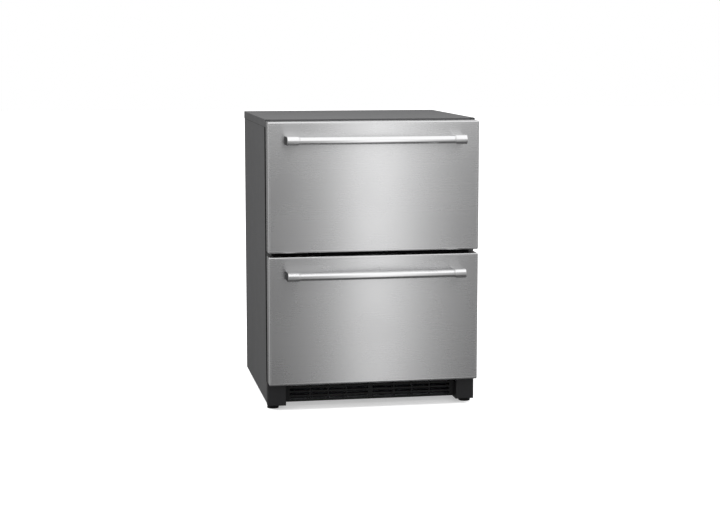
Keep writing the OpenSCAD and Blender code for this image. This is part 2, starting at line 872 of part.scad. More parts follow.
module handle_post() {
  r = post_h / 2;
  x0 = post_x - post_len;
  difference() {
    union() {
      intersection() {
        union() {
          rod_x([x0, bar_y, handle_z], r, post_len);
          translate([x0, bar_y, handle_z - r]) cube([post_len, face_y - bar_y, post_h]);
        }
        translate([x0 - 2, handle_y, 0]) linear_extrude(front_h)
          translate([post_len / 2 + 2, 0]) round_front(post_len, handle_reach, 3);
      }
      rod_x([bar_x, bar_y, handle_z], bar_d / 2 + 1, 1.6);
      rod_x([bar_x + 1.5, bar_y, handle_z], bar_d / 2 - 0.5, 2);
    }
    handle_screws(handle_screw_r, 0);
  }
}

module handle_posts() {
  color("#c4c6c8") both_sides() handle_post();
}

// A bin's outer volume shrunk by t on its walls and floor; low is its floor over the step.
module bin_volume(t, low, stepped) {
  difference() {
    translate([t - bin_x, inner_y + t, bin_lift + t])
      cube([2 * (bin_x - t), bin_back - inner_y - 2 * t, rim_z - bin_lift + t * 4]);
    if (stepped)
      translate([-bin_x, bin_step_y - t, bin_lift - eps])
        cube([2 * bin_x, bin_back - bin_step_y + 2 * t, low - bin_lift + t + eps]);
  }
}

module bin(low, stepped) {
  difference() {
    union() {
      bin_volume(0, low, stepped);
      difference() {
        translate([-bin_x - 4, inner_y, rim_z - 4])
          cube([2 * (bin_x + 4), bin_back + 4 - inner_y, 4]);
        translate([-bin_x + 1, inner_y + 1, rim_z - 5])
          cube([2 * (bin_x - 1), bin_back - inner_y - 2, 6]);
      }
    }
    bin_volume(bin_t, low, stepped);
    bin_screws(screw_r, 0);
  }
}

// The screws that hold a bin to the inner panel, as holes or as solids.
module bin_screws(r, head) {
  for (x = [-170, 0, 170], z = [bin_lift + 40, rim_z - 40])
    translate([x * bin_x / 248, inner_y, z]) {
      rod_y([0, 0, 0], r, bin_t);
      if (head > 0) rod_y([0, bin_t, 0], screw_head_r, head);
    }
}

module drawer_rails() {
  color("#b4b6b8") both_sides() translate([0, 0, rail_z])
    c_rail(bin_x, mid_x1 - rail_t - 0.7, in_half, inner_y + 2, bin_back);
}

module drawer_screws() {
  color("#8f9193") {
    handle_screws(handle_screw_r, 7);
    bin_screws(screw_r, 2);
  }
}

module middle_rails() {
  color("#a2a4a6") both_sides() translate([0, 0, rail_z])
    c_rail(mid_x1, mid_x0, mid_half, inner_y + 6, bin_back + 8);
}

module at_upper() {
  translate([0, 0, upper_z]) children();
}

module at_lower() {
  translate([0, 0, lower_z]) children();
}

module at_foot(leg, side) {
  translate([side * leg[0], leg[1], 0]) children();
}

// ---------- drawing ----------

side_panels();
top_cover();
back_panel();
rear_access_cover();
base_pan();
compressor_room_wall();
insulation();
liner();
face_frame();
mullion_bar();
toe_grille();
corner_blocks();
leg_nuts();
evaporator_cover();
evaporator_coil();
drip_tray();
fan_motors();
compressor();
compressor_grommets();
compressor_relay_box();
condenser_coil();
condenser_fan_shroud();
refrigerant_lines();
condensate_pan();
power_gland();
control_housing();
led_lamp();
cabinet_slide_rails();
cabinet_screws();
evaporator_fan();
condenser_fan();
thermostat_knob();
at_foot(leg_front, -1) foot_pad();  // foot_pad_front_left
at_foot(leg_front, 1) foot_pad();  // foot_pad_front_right
at_foot(leg_rear, -1) foot_pad();  // foot_pad_rear_left
at_foot(leg_rear, 1) foot_pad();  // foot_pad_rear_right
at_foot(leg_front, -1) foot_stud();  // foot_stud_front_left
at_foot(leg_front, 1) foot_stud();  // foot_stud_front_right
at_foot(leg_rear, -1) foot_stud();  // foot_stud_rear_left
at_foot(leg_rear, 1) foot_stud();  // foot_stud_rear_right
at_upper() front_skin();  // upper_front_skin
at_upper() front_foam();  // upper_front_foam
at_upper() front_inner_panel();  // upper_front_inner_panel
at_upper() seal();  // upper_seal
at_upper() handle_bar();  // upper_handle_bar
at_upper() handle_posts();  // upper_handle_posts
at_upper() color("#e3e7ea") bin(0, false);  // upper_bin
at_upper() drawer_rails();  // upper_drawer_rails
at_upper() drawer_screws();  // upper_drawer_screws
at_upper() middle_rails();  // upper_middle_rails
at_lower() front_skin();  // lower_front_skin
at_lower() front_foam();  // lower_front_foam
at_lower() front_inner_panel();  // lower_front_inner_panel
at_lower() seal();  // lower_seal
at_lower() handle_bar();  // lower_handle_bar
at_lower() handle_posts();  // lower_handle_posts
at_lower() color("#e3e7ea") bin(bin_step_z - lower_z, true);  // lower_bin
at_lower() drawer_rails();  // lower_drawer_rails
at_lower() drawer_screws();  // lower_drawer_screws
at_lower() middle_rails();  // lower_middle_rails
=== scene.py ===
"""Looks of an undercounter refrigerator with two drawers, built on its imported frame.

Every piece stands where the frame's node stands, in metres: X right, Y back, Z up.
"""
import json
import logging
import math
from abc import ABC, abstractmethod
from dataclasses import dataclass
from enum import Enum
from functools import cached_property
from typing import Any, Iterable, Optional, Sequence

import bmesh
import bpy
from mathutils import Matrix, Vector

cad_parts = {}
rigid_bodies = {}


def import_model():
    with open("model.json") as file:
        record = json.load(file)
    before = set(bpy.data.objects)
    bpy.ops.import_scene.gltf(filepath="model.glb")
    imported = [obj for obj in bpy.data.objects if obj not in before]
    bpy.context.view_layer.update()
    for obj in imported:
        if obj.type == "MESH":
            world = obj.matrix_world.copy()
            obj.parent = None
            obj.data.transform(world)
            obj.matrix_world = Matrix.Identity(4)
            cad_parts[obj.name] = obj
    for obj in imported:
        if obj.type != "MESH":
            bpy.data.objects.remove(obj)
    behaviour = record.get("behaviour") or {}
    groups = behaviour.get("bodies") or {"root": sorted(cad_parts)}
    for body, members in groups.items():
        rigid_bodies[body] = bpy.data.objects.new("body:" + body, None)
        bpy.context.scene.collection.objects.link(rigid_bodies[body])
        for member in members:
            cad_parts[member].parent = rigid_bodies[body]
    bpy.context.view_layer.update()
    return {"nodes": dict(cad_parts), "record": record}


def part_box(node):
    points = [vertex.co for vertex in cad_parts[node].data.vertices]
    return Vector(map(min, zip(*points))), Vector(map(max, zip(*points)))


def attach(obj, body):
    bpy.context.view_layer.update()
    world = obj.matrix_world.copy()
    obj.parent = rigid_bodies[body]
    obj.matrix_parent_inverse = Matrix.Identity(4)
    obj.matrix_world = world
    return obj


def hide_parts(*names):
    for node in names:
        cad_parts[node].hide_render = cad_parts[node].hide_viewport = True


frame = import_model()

LOG = logging.getLogger("refrigerator")
MM = 0.001
TOUCH = 1e-6
WHITE = (1.0, 1.0, 1.0)
X_AXIS, Y_AXIS, Z_AXIS = (1, 0, 0), (0, 1, 0), (0, 0, 1)
FRONT = (0, -1, 0)
SIDES = (-1, 1)
Triple = tuple[float, float, float]
Point = Sequence[float]
Profile = Sequence[tuple[float, float]]
Socket = bpy.types.NodeSocket
Verts = list[bmesh.types.BMVert]
Edges = list[bmesh.types.BMEdge]


def shade(colour: Triple, factor: float) -> Triple:
    """A colour made lighter or darker."""
    return tuple(min(1.0, c * factor) for c in colour)


def aimed(place: Point, direction: Point = Z_AXIS, spin: float = 0.0) -> Matrix:
    """A place whose Z axis looks in a direction, turned about it by some degrees."""
    turn = Vector(Z_AXIS).rotation_difference(Vector(direction)).to_matrix().to_4x4()
    return Matrix.Translation(Vector(place)) @ turn @ Matrix.Rotation(math.radians(spin), 4, "Z")


def middle(node: str) -> Vector:
    """The middle of a node's box."""
    return sum(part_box(node), Vector()) / 2


def upright(x: float, y: float, z0: float, z1: float) -> list[Vector]:
    """Corners of an upright rectangle from -x to x."""
    return [Vector(c) for c in ((-x, y, z0), (x, y, z0), (x, y, z1), (-x, y, z1))]


def placed(name: str, data: Any) -> bpy.types.Object:
    """Puts a new object in the scene.

    Args:
        name: Its name.
        data: Its mesh, curve, lamp or camera.

    Returns:
        The object.
    """
    made = bpy.data.objects.new(name, data)
    bpy.context.scene.collection.objects.link(made)
    return made


def body_of(node: str) -> str:
    """The frame's body that holds a node."""
    bodies = frame["record"]["behaviour"]["bodies"]
    return next(body for body, nodes in bodies.items() if node in nodes)


# ---------- finishes ----------

class Grain(Enum):
    """Cycles per metre of a brushed grain on each axis; it is long where they are few."""
    ALONG_X = (3.0, 900.0, 900.0)
    FOLDED = (3.0, 3.0, 900.0)


class Graph:
    """The nodes of a material or world, with short calls for those that the finishes share."""

    def __init__(self, owner: Any, colour: Triple = WHITE) -> None:
        """Starts the nodes of a material or world, which has a base colour."""
        owner.use_nodes = True
        self.owner, self.colour, self.tree = owner, colour, owner.node_tree

    @cached_property
    def place(self) -> Socket:
        """Object coordinates."""
        return self.node("TexCoord").outputs["Object"]

    def feed(self, node: bpy.types.Node, inputs: dict[Any, Any]) -> bpy.types.Node:
        """Sets a node's inputs.

        Args:
            node: The node.
            inputs: Values or sockets, by the input's name or number.

        Returns:
            The same node.
        """
        for key, value in inputs.items():
            if isinstance(value, Socket):
                self.tree.links.new(value, node.inputs[key])
            elif node.inputs[key].type == "RGBA":
                node.inputs[key].default_value = (*value, 1.0)
            else:
                node.inputs[key].default_value = value
        return node

    def node(self, kind: str, inputs: Optional[dict[Any, Any]] = None,
             **settings: Any) -> bpy.types.Node:
        """Adds a shader node.

        Args:
            kind: The node's type, without its ShaderNode prefix.
            inputs: Values or sockets for its inputs, by name or number.
            **settings: The node's own settings.

        Returns:
            The new node.
        """
        made = self.tree.nodes.new("ShaderNode" + kind)
        for key, value in settings.items():
            setattr(made, key, value)
        return self.feed(made, inputs or {})

    def noise(self, scale: Point, detail: float = 4.0, rough: float = 0.5) -> Socket:
        """Noise of mostly 0.3 to 0.7, with so many cycles per metre on each axis."""
        place = self.node("Mapping", {"Vector": self.place, "Scale": scale}).outputs[0]
        return self.node("TexNoise", {"Vector": place, "Scale": 1.0, "Detail": detail,
                                      "Roughness": rough}).outputs["Fac"]

    def cells(self, scale: float, output: str) -> Socket:
        """One output of a pattern with so many cells per metre."""
        return self.node("TexVoronoi", {"Vector": self.place, "Scale": scale}).outputs[output]

    def span(self, value: Socket, low: float = 0.0, high: float = 1.0, start: float = 0.3,
             stop: float = 0.7, kind: str = "LINEAR") -> Socket:
        """Maps a value from start..stop to low..high."""
        return self.node("MapRange", {"Value": value, "From Min": start, "From Max": stop,
                                      "To Min": low, "To Max": high},
                         interpolation_type=kind).outputs["Result"]

    def maths(self, step: str, first: Any, second: Any = 0.0) -> Socket:
        """One arithmetic step on two values."""
        return self.node("Math", {0: first, 1: second}, operation=step).outputs["Value"]

    def tint(self, mix: Any, first: Any, second: Any, blend: str = "MIX") -> Socket:
        """Lays a share of the second colour over the first."""
        return self.node("Mix", {0: mix, 6: first, 7: second}, data_type="RGBA",
                         blend_type=blend).outputs[2]

    def tones(self, mix: Socket, low: float, high: float) -> Socket:
        """The base colour times low to high."""
        return self.tint(mix, shade(self.colour, low), shade(self.colour, high))

    def marked(self, mix: Socket, under: Any, factor: float) -> Socket:
        """A colour with marks of the base colour times a factor."""
        return self.tint(mix, under, shade(self.colour, factor))

    def relief(self, height: Socket, depth: float, strength: float = 1.0,
               under: Optional[Socket] = None) -> Socket:
        """Bump of a height from 0 to a depth in mm, on another bump if one is given."""
        sockets = {"Height": height, "Distance": depth * MM, "Strength": strength}
        return self.node("Bump", sockets | ({"Normal": under} if under else {})).outputs[0]

    def dress(self, inputs: dict[str, Any]) -> None:
        """Sets the shader's inputs."""
        self.feed(self.tree.nodes["Principled BSDF"], inputs)

    def surface(self, output: Socket) -> None:
        """Makes a shader the surface, without sampling it as a lamp."""
        self.tree.links.new(output, self.tree.nodes["Material Output"].inputs["Surface"])
        self.owner.cycles.emission_sampling = "NONE"


@dataclass(frozen=True)
class Finish(ABC):
    """A surface finish: its name, the record's slot, its colour and its roughness.

    The numbers that the finishes add are cycles per metre, depths in mm and shares.
    """
    name: str
    slot: str
    colour: Triple
    rough: float

    def material(self) -> bpy.types.Material:
        """The finish's material, made at its first use."""
        return bpy.data.materials.get(self.name) or self.make()

    def make(self) -> bpy.types.Material:
        """Makes the material.

        Returns:
            The material.
        """
        graph = Graph(bpy.data.materials.new(self.name), self.colour)
        graph.owner.diffuse_color = (*self.colour, 1.0)
        graph.dress(self.looks(graph))
        return graph.owner

    @abstractmethod
    def looks(self, graph: Graph) -> dict[str, Any]:
        """The shader's inputs, with the nodes that lead to them."""


@dataclass(frozen=True)
class BrushedSteel(Finish):
    """Stainless sheet or tube with a fine grain."""
    grain: Grain = Grain.ALONG_X
    stretch: float = 0.8
    streak: float = 0.014
    scratch: float = 0.003

    def looks(self, graph: Graph) -> dict[str, Any]:
        """Fine streaks in colour, roughness and height, and faint smudges.

        Args:
            graph: The material's nodes.

        Returns:
            The shader's inputs.
        """
        fine = graph.noise(self.grain.value, 3.0, 0.6)
        broad = graph.noise(tuple(s * 0.4 for s in self.grain.value), 3.0)
        smudge = graph.span(graph.noise((7.0,) * 3, 3.0), -0.012, 0.015, 0.35, 0.65)
        mix = graph.maths("ADD", graph.maths("MULTIPLY", fine, 0.75),
                          graph.maths("MULTIPLY", broad, 0.25))
        worn = graph.maths("ADD", graph.span(mix, -0.01, 0.01), smudge)
        return {
            "Base Color": graph.tones(graph.span(mix, start=0.35, stop=0.65),
                                      1 - self.streak, 1 + self.streak),
            "Metallic": 1.0,
            "Roughness": graph.maths("ADD", worn, self.rough),
            "Anisotropic": self.stretch,
            "Anisotropic Rotation": 0.25,
            "Normal": graph.relief(mix, self.scratch, 0.07),
            "Tangent": graph.node("Tangent", direction_type="RADIAL", axis="Z").outputs[0],
        }


@dataclass(frozen=True)
class Enamel(Finish):
    """Paint baked on sheet, with a slight orange peel."""
    peel: float = 450.0
    gloss: float = 0.3
    cloud: float = 9.0
    dust: float = 2300.0
    depth: float = 0.05

    def looks(self, graph: Graph) -> dict[str, Any]:
        """Orange peel, faint clouds of colour and a few specks of dust.

        Args:
            graph: The material's nodes.

        Returns:
            The shader's inputs.
        """
        cloud = graph.noise((self.cloud,) * 3, rough=0.55)
        speck = graph.span(graph.noise((self.dust,) * 3, 1.0), 0.0, 0.35, 0.60, 0.74)
        return {
            "Base Color": graph.marked(speck, graph.tones(graph.span(cloud), 0.95, 1.05), 1.5),
            "Roughness": graph.span(cloud, self.rough - 0.03, self.rough + 0.04),
            "Specular IOR Level": self.gloss,
            "Normal": graph.relief(graph.noise((self.peel,) * 3, 2.0, 0.4), self.depth),
        }


@dataclass(frozen=True)
class MouldedPlastic(Finish):
    """Injection-moulded plastic with a stippled or plain skin."""
    stipple: float = 1400.0
    depth: float = 0.03
    gloss: float = 0.5

    def looks(self, graph: Graph) -> dict[str, Any]:
        """A stipple of fine pits and soft flow marks.

        Args:
            graph: The material's nodes.

        Returns:
            The shader's inputs.
        """
        pits = graph.noise((self.stipple,) * 3, 3.0, 0.6)
        flow = graph.tones(graph.span(graph.noise((14.0, 14.0, 30.0), 3.0)), 0.97, 1.03)
        return {
            "Base Color": graph.marked(graph.span(pits, 0.0, 0.25, 0.45), flow, 0.8),
            "Roughness": graph.span(pits, self.rough + 0.04, self.rough - 0.04),
            "Specular IOR Level": self.gloss,
            "Normal": graph.relief(pits, self.depth),
        }


@dataclass(frozen=True)
class GalvanisedSheet(Finish):
    """Zinc-dipped steel sheet with its spangle."""
    spangle: float = 120.0
    metal: float = 0.6

    def looks(self, graph: Graph) -> dict[str, Any]:
        """Spangles that differ in tone and gloss, with a dull bloom over them.

        Args:
            graph: The material's nodes.

        Returns:
            The shader's inputs.
        """
        flake = graph.cells(self.spangle, "Color")
        tone = graph.node("SeparateColor", {"Color": flake}).outputs[0]
        bloom = graph.noise((22.0,) * 3, 5.0, 0.6)
        return {
            "Base Color": graph.marked(graph.span(bloom, 0.0, 0.5),
                                       graph.tones(tone, 0.88, 1.1), 0.9),
            "Metallic": self.metal,
            "Roughness": graph.maths("ADD", graph.span(tone, -0.05, 0.08, 0.0, 1.0),
                                     graph.span(bloom, self.rough, self.rough + 0.1)),
            "Normal": graph.relief(graph.noise((600.0,) * 3, 3.0), 0.02),
        }


@dataclass(frozen=True)
class PlatedSteel(Finish):
    """Zinc-plated or drawn metal with rolling marks."""
    marks: Point = (160.0, 8.0, 160.0)
    metal: float = 1.0
    stain: float = 0.75

    def looks(self, graph: Graph) -> dict[str, Any]:
        """Rolling marks along the piece and cloudy stains.

        Args:
            graph: The material's nodes.

        Returns:
            The shader's inputs.
        """
        rolled = graph.noise(self.marks, rough=0.6)
        cloud = graph.noise((30.0,) * 3, rough=0.6)
        return {
            "Base Color": graph.marked(graph.span(cloud, 0.0, 0.7, 0.5, 0.72),
                                       graph.tones(graph.span(rolled), 0.93, 1.06),
                                       self.stain),
            "Metallic": self.metal,
            "Roughness": graph.maths("ADD", graph.span(rolled, -0.04, 0.06),
                                     graph.span(cloud, self.rough, self.rough + 0.08)),
            "Normal": graph.relief(rolled, 0.01),
        }


@dataclass(frozen=True)
class RigidFoam(Finish):
    """Foam with its fine cells and its darker skin."""

    def looks(self, graph: Graph) -> dict[str, Any]:
        """Cells in two sizes and a patchy skin.

        Args:
            graph: The material's nodes.

        Returns:
            The shader's inputs.
        """
        patch = graph.noise((25.0,) * 3, rough=0.6)
        return {
            "Base Color": graph.tones(graph.span(patch), 0.85, 1.0),
            "Roughness": self.rough,
            "Specular IOR Level": 0.2,
            "Normal": graph.relief(graph.cells(900.0, "Distance"), 0.3,
                                   under=graph.relief(patch, 0.6, 0.5)),
        }


@dataclass(frozen=True)
class SoftRubber(Finish):
    """Rubber with a dry, slightly dusty skin."""

    def looks(self, graph: Graph) -> dict[str, Any]:
        """A fine matt grain and paler dust.

        Args:
            graph: The material's nodes.

        Returns:
            The shader's inputs.
        """
        grain = graph.noise((1100.0,) * 3, 3.0, 0.6)
        dust = graph.span(graph.noise((40.0,) * 3, 5.0, 0.65), 0.0, 0.35, 0.5, 0.75)
        return {
            "Base Color": graph.marked(dust, self.colour, 2.2),
            "Roughness": graph.span(grain, self.rough - 0.05, self.rough + 0.08),
            "Specular IOR Level": 0.3,
            "Sheen Weight": 0.06,
            "Normal": graph.relief(grain, 0.03),
        }


@dataclass(frozen=True)
class RibbedLens(Finish):
    """Milky lamp lens with fine upright ribs."""
    ribs: float = 420.0

    def looks(self, graph: Graph) -> dict[str, Any]:
        """Ribs across the lens and a cool milky body.

        Args:
            graph: The material's nodes.

        Returns:
            The shader's inputs.
        """
        across = graph.node("SeparateXYZ", {"Vector": graph.place}).outputs["X"]
        wave = graph.maths("SINE", graph.maths("MULTIPLY", across, self.ribs * 2 * math.pi))
        milk = graph.noise((60.0,) * 3, 3.0)
        return {
            "Base Color": graph.tones(graph.span(milk), 0.95, 1.0),
            "Roughness": graph.span(milk, self.rough, self.rough + 0.06),
            "Coat Weight": 0.3,
            "Subsurface Weight": 0.15,
            "Normal": graph.relief(graph.span(wave, start=-1.0, stop=1.0), 0.25),
        }


FRONT_STEEL = BrushedSteel("front_brushed_steel", "brushed_stainless", (0.72, 0.72, 0.725),
                           0.27, Grain.FOLDED)
HANDLE_STEEL = BrushedSteel("handle_brushed_steel", "handle_stainless", (0.88, 0.88, 0.885),
                            0.17, stretch=0.3, streak=0.03)
# Painted shade: dark grey for the plates on the posts' ends, which stand in for the shade on
# them.
POST_END_PAINTED_SHADE = Enamel("post_end_grey_painted_shade", "handle_stainless", (0.045, 0.045, 0.046), 0.65,
                       900.0, 0.1)
DARK_ENAMEL = Enamel("dark_grey_enamel", "dark_enamel", (0.088, 0.088, 0.090), 0.52)
# The face frame's paint, made near-black so that it also stands in for the shade deep in the
# door gaps.
FRAME_ENAMEL_AS_GAP_SHADE = Enamel("black_frame_enamel_as_gap_shade", "dark_enamel", (0.011, 0.011, 0.012), 0.6,
                      gloss=0.05)
# Painted shadow: near-black paint for strips that stand in for the shade in the gaps round the
# doors and below the top cover's skirt.
GAP_SHADOW_BLACK = Enamel("painted_gap_shadow_black", "dark_enamel", (0.0035, 0.0035, 0.0036), 0.65,
                       gloss=0.03)
CAN_ENAMEL = Enamel("black_can_enamel", "compressor_black", (0.010, 0.010, 0.011), 0.24,
                    260.0, 0.5)
GALVANISED = GalvanisedSheet("galvanised_sheet", "galvanised_steel", (0.54, 0.55, 0.56), 0.42)
ZINC = PlatedSteel("zinc_plate", "zinc_steel", (0.52, 0.53, 0.54), 0.32)
FIN_METAL = PlatedSteel("fin_aluminium_plain", "fin_aluminium", (0.58, 0.59, 0.60), 0.36,
                        (8.0, 90.0, 160.0))
BLACK_FINS = PlatedSteel("black_coated_fins", "black_fins", (0.012, 0.012, 0.013), 0.5,
                         (8.0, 90.0, 160.0), 0.0)
COPPER = PlatedSteel("drawn_copper", "copper", (0.62, 0.27, 0.14), 0.30, (90.0,) * 3,
                     stain=0.45)
BLACK_PLASTIC = MouldedPlastic("black_plastic_skin", "black_plastic", (0.013, 0.013, 0.014),
                               0.52, gloss=0.4)
FINE_BLACK_PLASTIC = MouldedPlastic("black_plastic_plain", "black_plastic",
                                    (0.006, 0.006, 0.0066), 0.5, 700.0, 0.012, 0.3)
WHITE_PLASTIC = MouldedPlastic("white_plastic_skin", "white_plastic", (0.72, 0.74, 0.755),
                               0.34, 500.0, 0.02)
BIN_PLASTIC = MouldedPlastic("bin_plastic_skin", "white_plastic", (0.70, 0.725, 0.745), 0.38,
                             1000.0)
GREY_PLASTIC = MouldedPlastic("grey_plastic_skin", "grey_plastic", (0.27, 0.275, 0.285), 0.45)
LENS = RibbedLens("milky_lens", "clear_white_plastic", (0.86, 0.88, 0.87), 0.22)
FOAM = RigidFoam("rigid_foam", "foam", (0.69, 0.60, 0.34), 0.85)
SEAL_RUBBER = SoftRubber("seal_rubber_skin", "seal_rubber", (0.011, 0.011, 0.012), 0.58)
BLACK_RUBBER = SoftRubber("black_rubber_skin", "black_rubber", (0.010, 0.010, 0.010), 0.70)


# ---------- mesh work ----------

class Workpiece:
    """A mesh in the making: bmesh operators shape it, and piece() makes it an object."""

    def __init__(self, node: str = "") -> None:
        """Starts an empty mesh, which stands for a node of the frame if one is given."""
        self.bm, self.node = bmesh.new(), node

    @property
    def box(self) -> tuple[Vector, Vector]:
        """The node's lowest and highest corner."""
        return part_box(self.node)

    def block(self, low: Point, high: Point) -> Verts:
        """Adds a box.

        Args:
            low: Its lowest corner.
            high: Its highest corner.

        Returns:
            Its vertices.
        """
        low, high = Vector(low), Vector(high)
        made = bmesh.ops.create_cube(self.bm, size=1.0)["verts"]
        bmesh.ops.scale(self.bm, vec=high - low, verts=made)
        bmesh.ops.translate(self.bm, vec=(high + low) / 2, verts=made)
        return made

    def flat(self, corners: Iterable[Point]) -> bmesh.types.BMFace:
        """Adds a flat face."""
        return self.bm.faces.new([self.bm.verts.new(c) for c in corners])

    def pull(self, faces: list[bmesh.types.BMFace], sweep: Point) -> None:
        """Pulls the mesh's open faces out to a closed solid.

        Args:
            faces: The faces.
            sweep: How far and where they are pulled.
        """
        pulled = bmesh.ops.extrude_face_region(self.bm, geom=faces, use_keep_orig=True)
        far = [g for g in pulled["geom"] if isinstance(g, bmesh.types.BMVert)]
        bmesh.ops.translate(self.bm, vec=sweep, verts=far)
        self.face_out()

    def sweep(self, chain: Iterable[Point], axis: Point, rise: float, angle: float,
              steps: int, closed: bool = False) -> None:
        """Adds the sheet that a chain of points makes when it turns about the origin.

        Args:
            chain: The points.
            axis: What it turns about.
            rise: How far it goes along the axis.
            angle: How far it turns.
            steps: Number of steps.
            closed: Whether it is a full turn that meets itself.
        """
        verts = [self.bm.verts.new(place) for place in chain]
        edges = [self.bm.edges.new(pair) for pair in zip(verts, verts[1:])]
        bmesh.ops.spin(self.bm, geom=verts + edges, cent=(0, 0, 0), axis=axis, angle=angle,
                       dvec=Vector(axis) * (rise / steps), steps=steps, use_merge=closed)

    def turned(self, profile: Profile, place: Matrix, sides: int = 48) -> Verts:
        """Adds a shape turned on a lathe.

        Args:
            profile: Radius and height of each point in mm, from one pole or rim to the other.
            place: Where height 0 is, with Z along the axis.
            sides: Steps of the full turn.

        Returns:
            Its vertices.
        """
        before = set(self.bm.verts)
        self.sweep([(r * MM, 0.0, h * MM) for r, h in profile], Z_AXIS, 0.0, 2 * math.pi, sides,
                   True)
        self.weld([v for v in self.bm.verts if v not in before])
        made = [v for v in self.bm.verts if v not in before]
        bmesh.ops.transform(self.bm, matrix=place, verts=made)
        self.face_out(made)
        return made

    def weld(self, verts: Optional[Verts] = None, near: float = TOUCH) -> None:
        """Merges vertices that touch."""
        bmesh.ops.remove_doubles(self.bm, verts=verts or self.bm.verts[:], dist=near)

    def face_out(self, verts: Optional[Verts] = None) -> None:
        """Turns the faces of closed shells outwards."""
        faces = list({f for v in verts or self.bm.verts for f in v.link_faces})
        bmesh.ops.recalc_face_normals(self.bm, faces=faces)

    def cut(self, place: Point, normal: Point, clear: bool = True) -> None:
        """Cuts the mesh by a plane.

        Args:
            place: A point of the plane.
            normal: Its normal.
            clear: Whether what lies beyond goes and the cut is closed.
        """
        everything = self.bm.verts[:] + self.bm.edges[:] + self.bm.faces[:]
        made = bmesh.ops.bisect_plane(self.bm, geom=everything, dist=1e-7, plane_co=place,
                                      plane_no=normal, clear_outer=clear)
        if clear:
            rim = [g for g in made["geom_cut"] if isinstance(g, bmesh.types.BMEdge)]
            bmesh.ops.edgeloop_fill(self.bm, edges=rim)

    def inset(self, face: bmesh.types.BMFace, steps: Iterable[tuple[float, float]]) -> None:
        """Shrinks a face in steps, each with its width and its rise."""
        for width, rise in steps:
            bmesh.ops.inset_region(self.bm, faces=[face], thickness=width, depth=rise,
                                   use_even_offset=True)

    def ring(self, outline: Sequence[Vector], width: float, sweep: Point, corner: float,
             edge: float) -> None:
        """Adds a frame with rounded corners along an outline.

        Known fault: its inset comes out without width, so the frame encloses no volume.

        Args:
            outline: Four corners of its outer edge.
            width: How wide its sides are meant to be.
            sweep: How far and where it is pulled out.
            corner: Radius of its outer corners.
            edge: Radius of its long edges.
        """
        other = Workpiece()
        inner = [other.flat(outline)]
        sides = bmesh.ops.inset_region(other.bm, faces=inner, thickness=width,
                                       use_boundary=True, use_even_offset=True)["faces"]
        bmesh.ops.delete(other.bm, geom=inner, context="FACES")
        other.pull(sides, sweep)
        posts = other.edges_along(max(range(3), key=lambda i: abs(sweep[i])))
        outside = [e for e in posts if any((e.verts[0].co - c).cross(Vector(sweep)).length
                                           < 1e-9 for c in outline)]
        inside = [e for e in posts if e not in outside]
        other.soften(corner, 6, edges=outside)
        other.soften(max(corner - width, 0.25 * corner), 4, edges=[
            e for e in inside if e.is_valid])
        other.soften(edge, 2, 60.0)
        self.stamp(other)

    def stamp(self, other: "Workpiece", places: Iterable[Matrix] = (Matrix(),)) -> None:
        """Adds another workpiece's mesh, which ends it.

        Args:
            other: The other workpiece.
            places: Where its copies go.
        """
        carrier = bpy.data.meshes.new("carrier")
        other.bm.to_mesh(carrier)
        other.bm.free()
        for place in places:
            copy = carrier.copy()
            copy.transform(place)
            self.bm.from_mesh(copy)
            bpy.data.meshes.remove(copy)
        bpy.data.meshes.remove(carrier)

    def from_node(self) -> None:
        """Takes a merged copy of the node's mesh."""
        self.bm.from_mesh(frame["nodes"][self.node].data)
        self.weld(near=2 * TOUCH)
        bmesh.ops.dissolve_limit(self.bm, angle_limit=math.radians(0.6),
                                 verts=self.bm.verts[:], edges=self.bm.edges[:])

    def soften(self, radius: float, segments: int = 2, sharper: float = 30.0,
               edges: Optional[Iterable[bmesh.types.BMEdge]] = None) -> None:
        """Rounds edges.

        Args:
            radius: Width of the rounding.
            segments: Its number of facets.
            sharper: Only edges that bend by more than this many degrees, if none are given.
            edges: The edges to round.
        """
        if radius <= 0:
            return
        self.bm.normal_update()
        if edges is None:
            edges = [e for e in self.bm.edges if e.is_manifold
                     and e.calc_face_angle(0.0) > math.radians(sharper)]
        bmesh.ops.bevel(self.bm, geom=list(edges), offset=radius, offset_type="OFFSET",
                        segments=segments, profile=0.5, affect="EDGES", material=-1,
                        clamp_overlap=True)

    def fillet(self, radius: float, segments: int = 4) -> None:
        """Rounds the edges where two faces meet in a hollow.

        Args:
            radius: Width of the rounding.
            segments: Its number of facets.
        """
        self.bm.normal_update()
        hollow = [e for e in self.bm.edges if e.is_manifold
                  and e.calc_face_angle_signed(0.0) < -math.radians(30)]
        if hollow:
            self.soften(radius, segments, edges=hollow)

    def edges_along(self, axis: int, verts: Optional[Verts] = None) -> Edges:
        """Edges that run along an axis.

        Args:
            axis: 0, 1 or 2 for X, Y or Z.
            verts: Only edges between these vertices, if given.

        Returns:
            The edges.
        """
        among = set(verts or self.bm.verts)
        runs = [(e, e.verts[1].co - e.verts[0].co) for e in self.bm.edges
                if set(e.verts) <= among]
        return [e for e, run in runs if abs(run[axis]) > 0.999 * run.length > 0]

    def widest_face(self, normal: Point) -> bmesh.types.BMFace:
        """The largest face that looks a given way."""
        self.bm.normal_update()
        return max((f for f in self.bm.faces if f.normal.dot(Vector(normal)) > 0.999),
                   key=lambda f: f.calc_area())

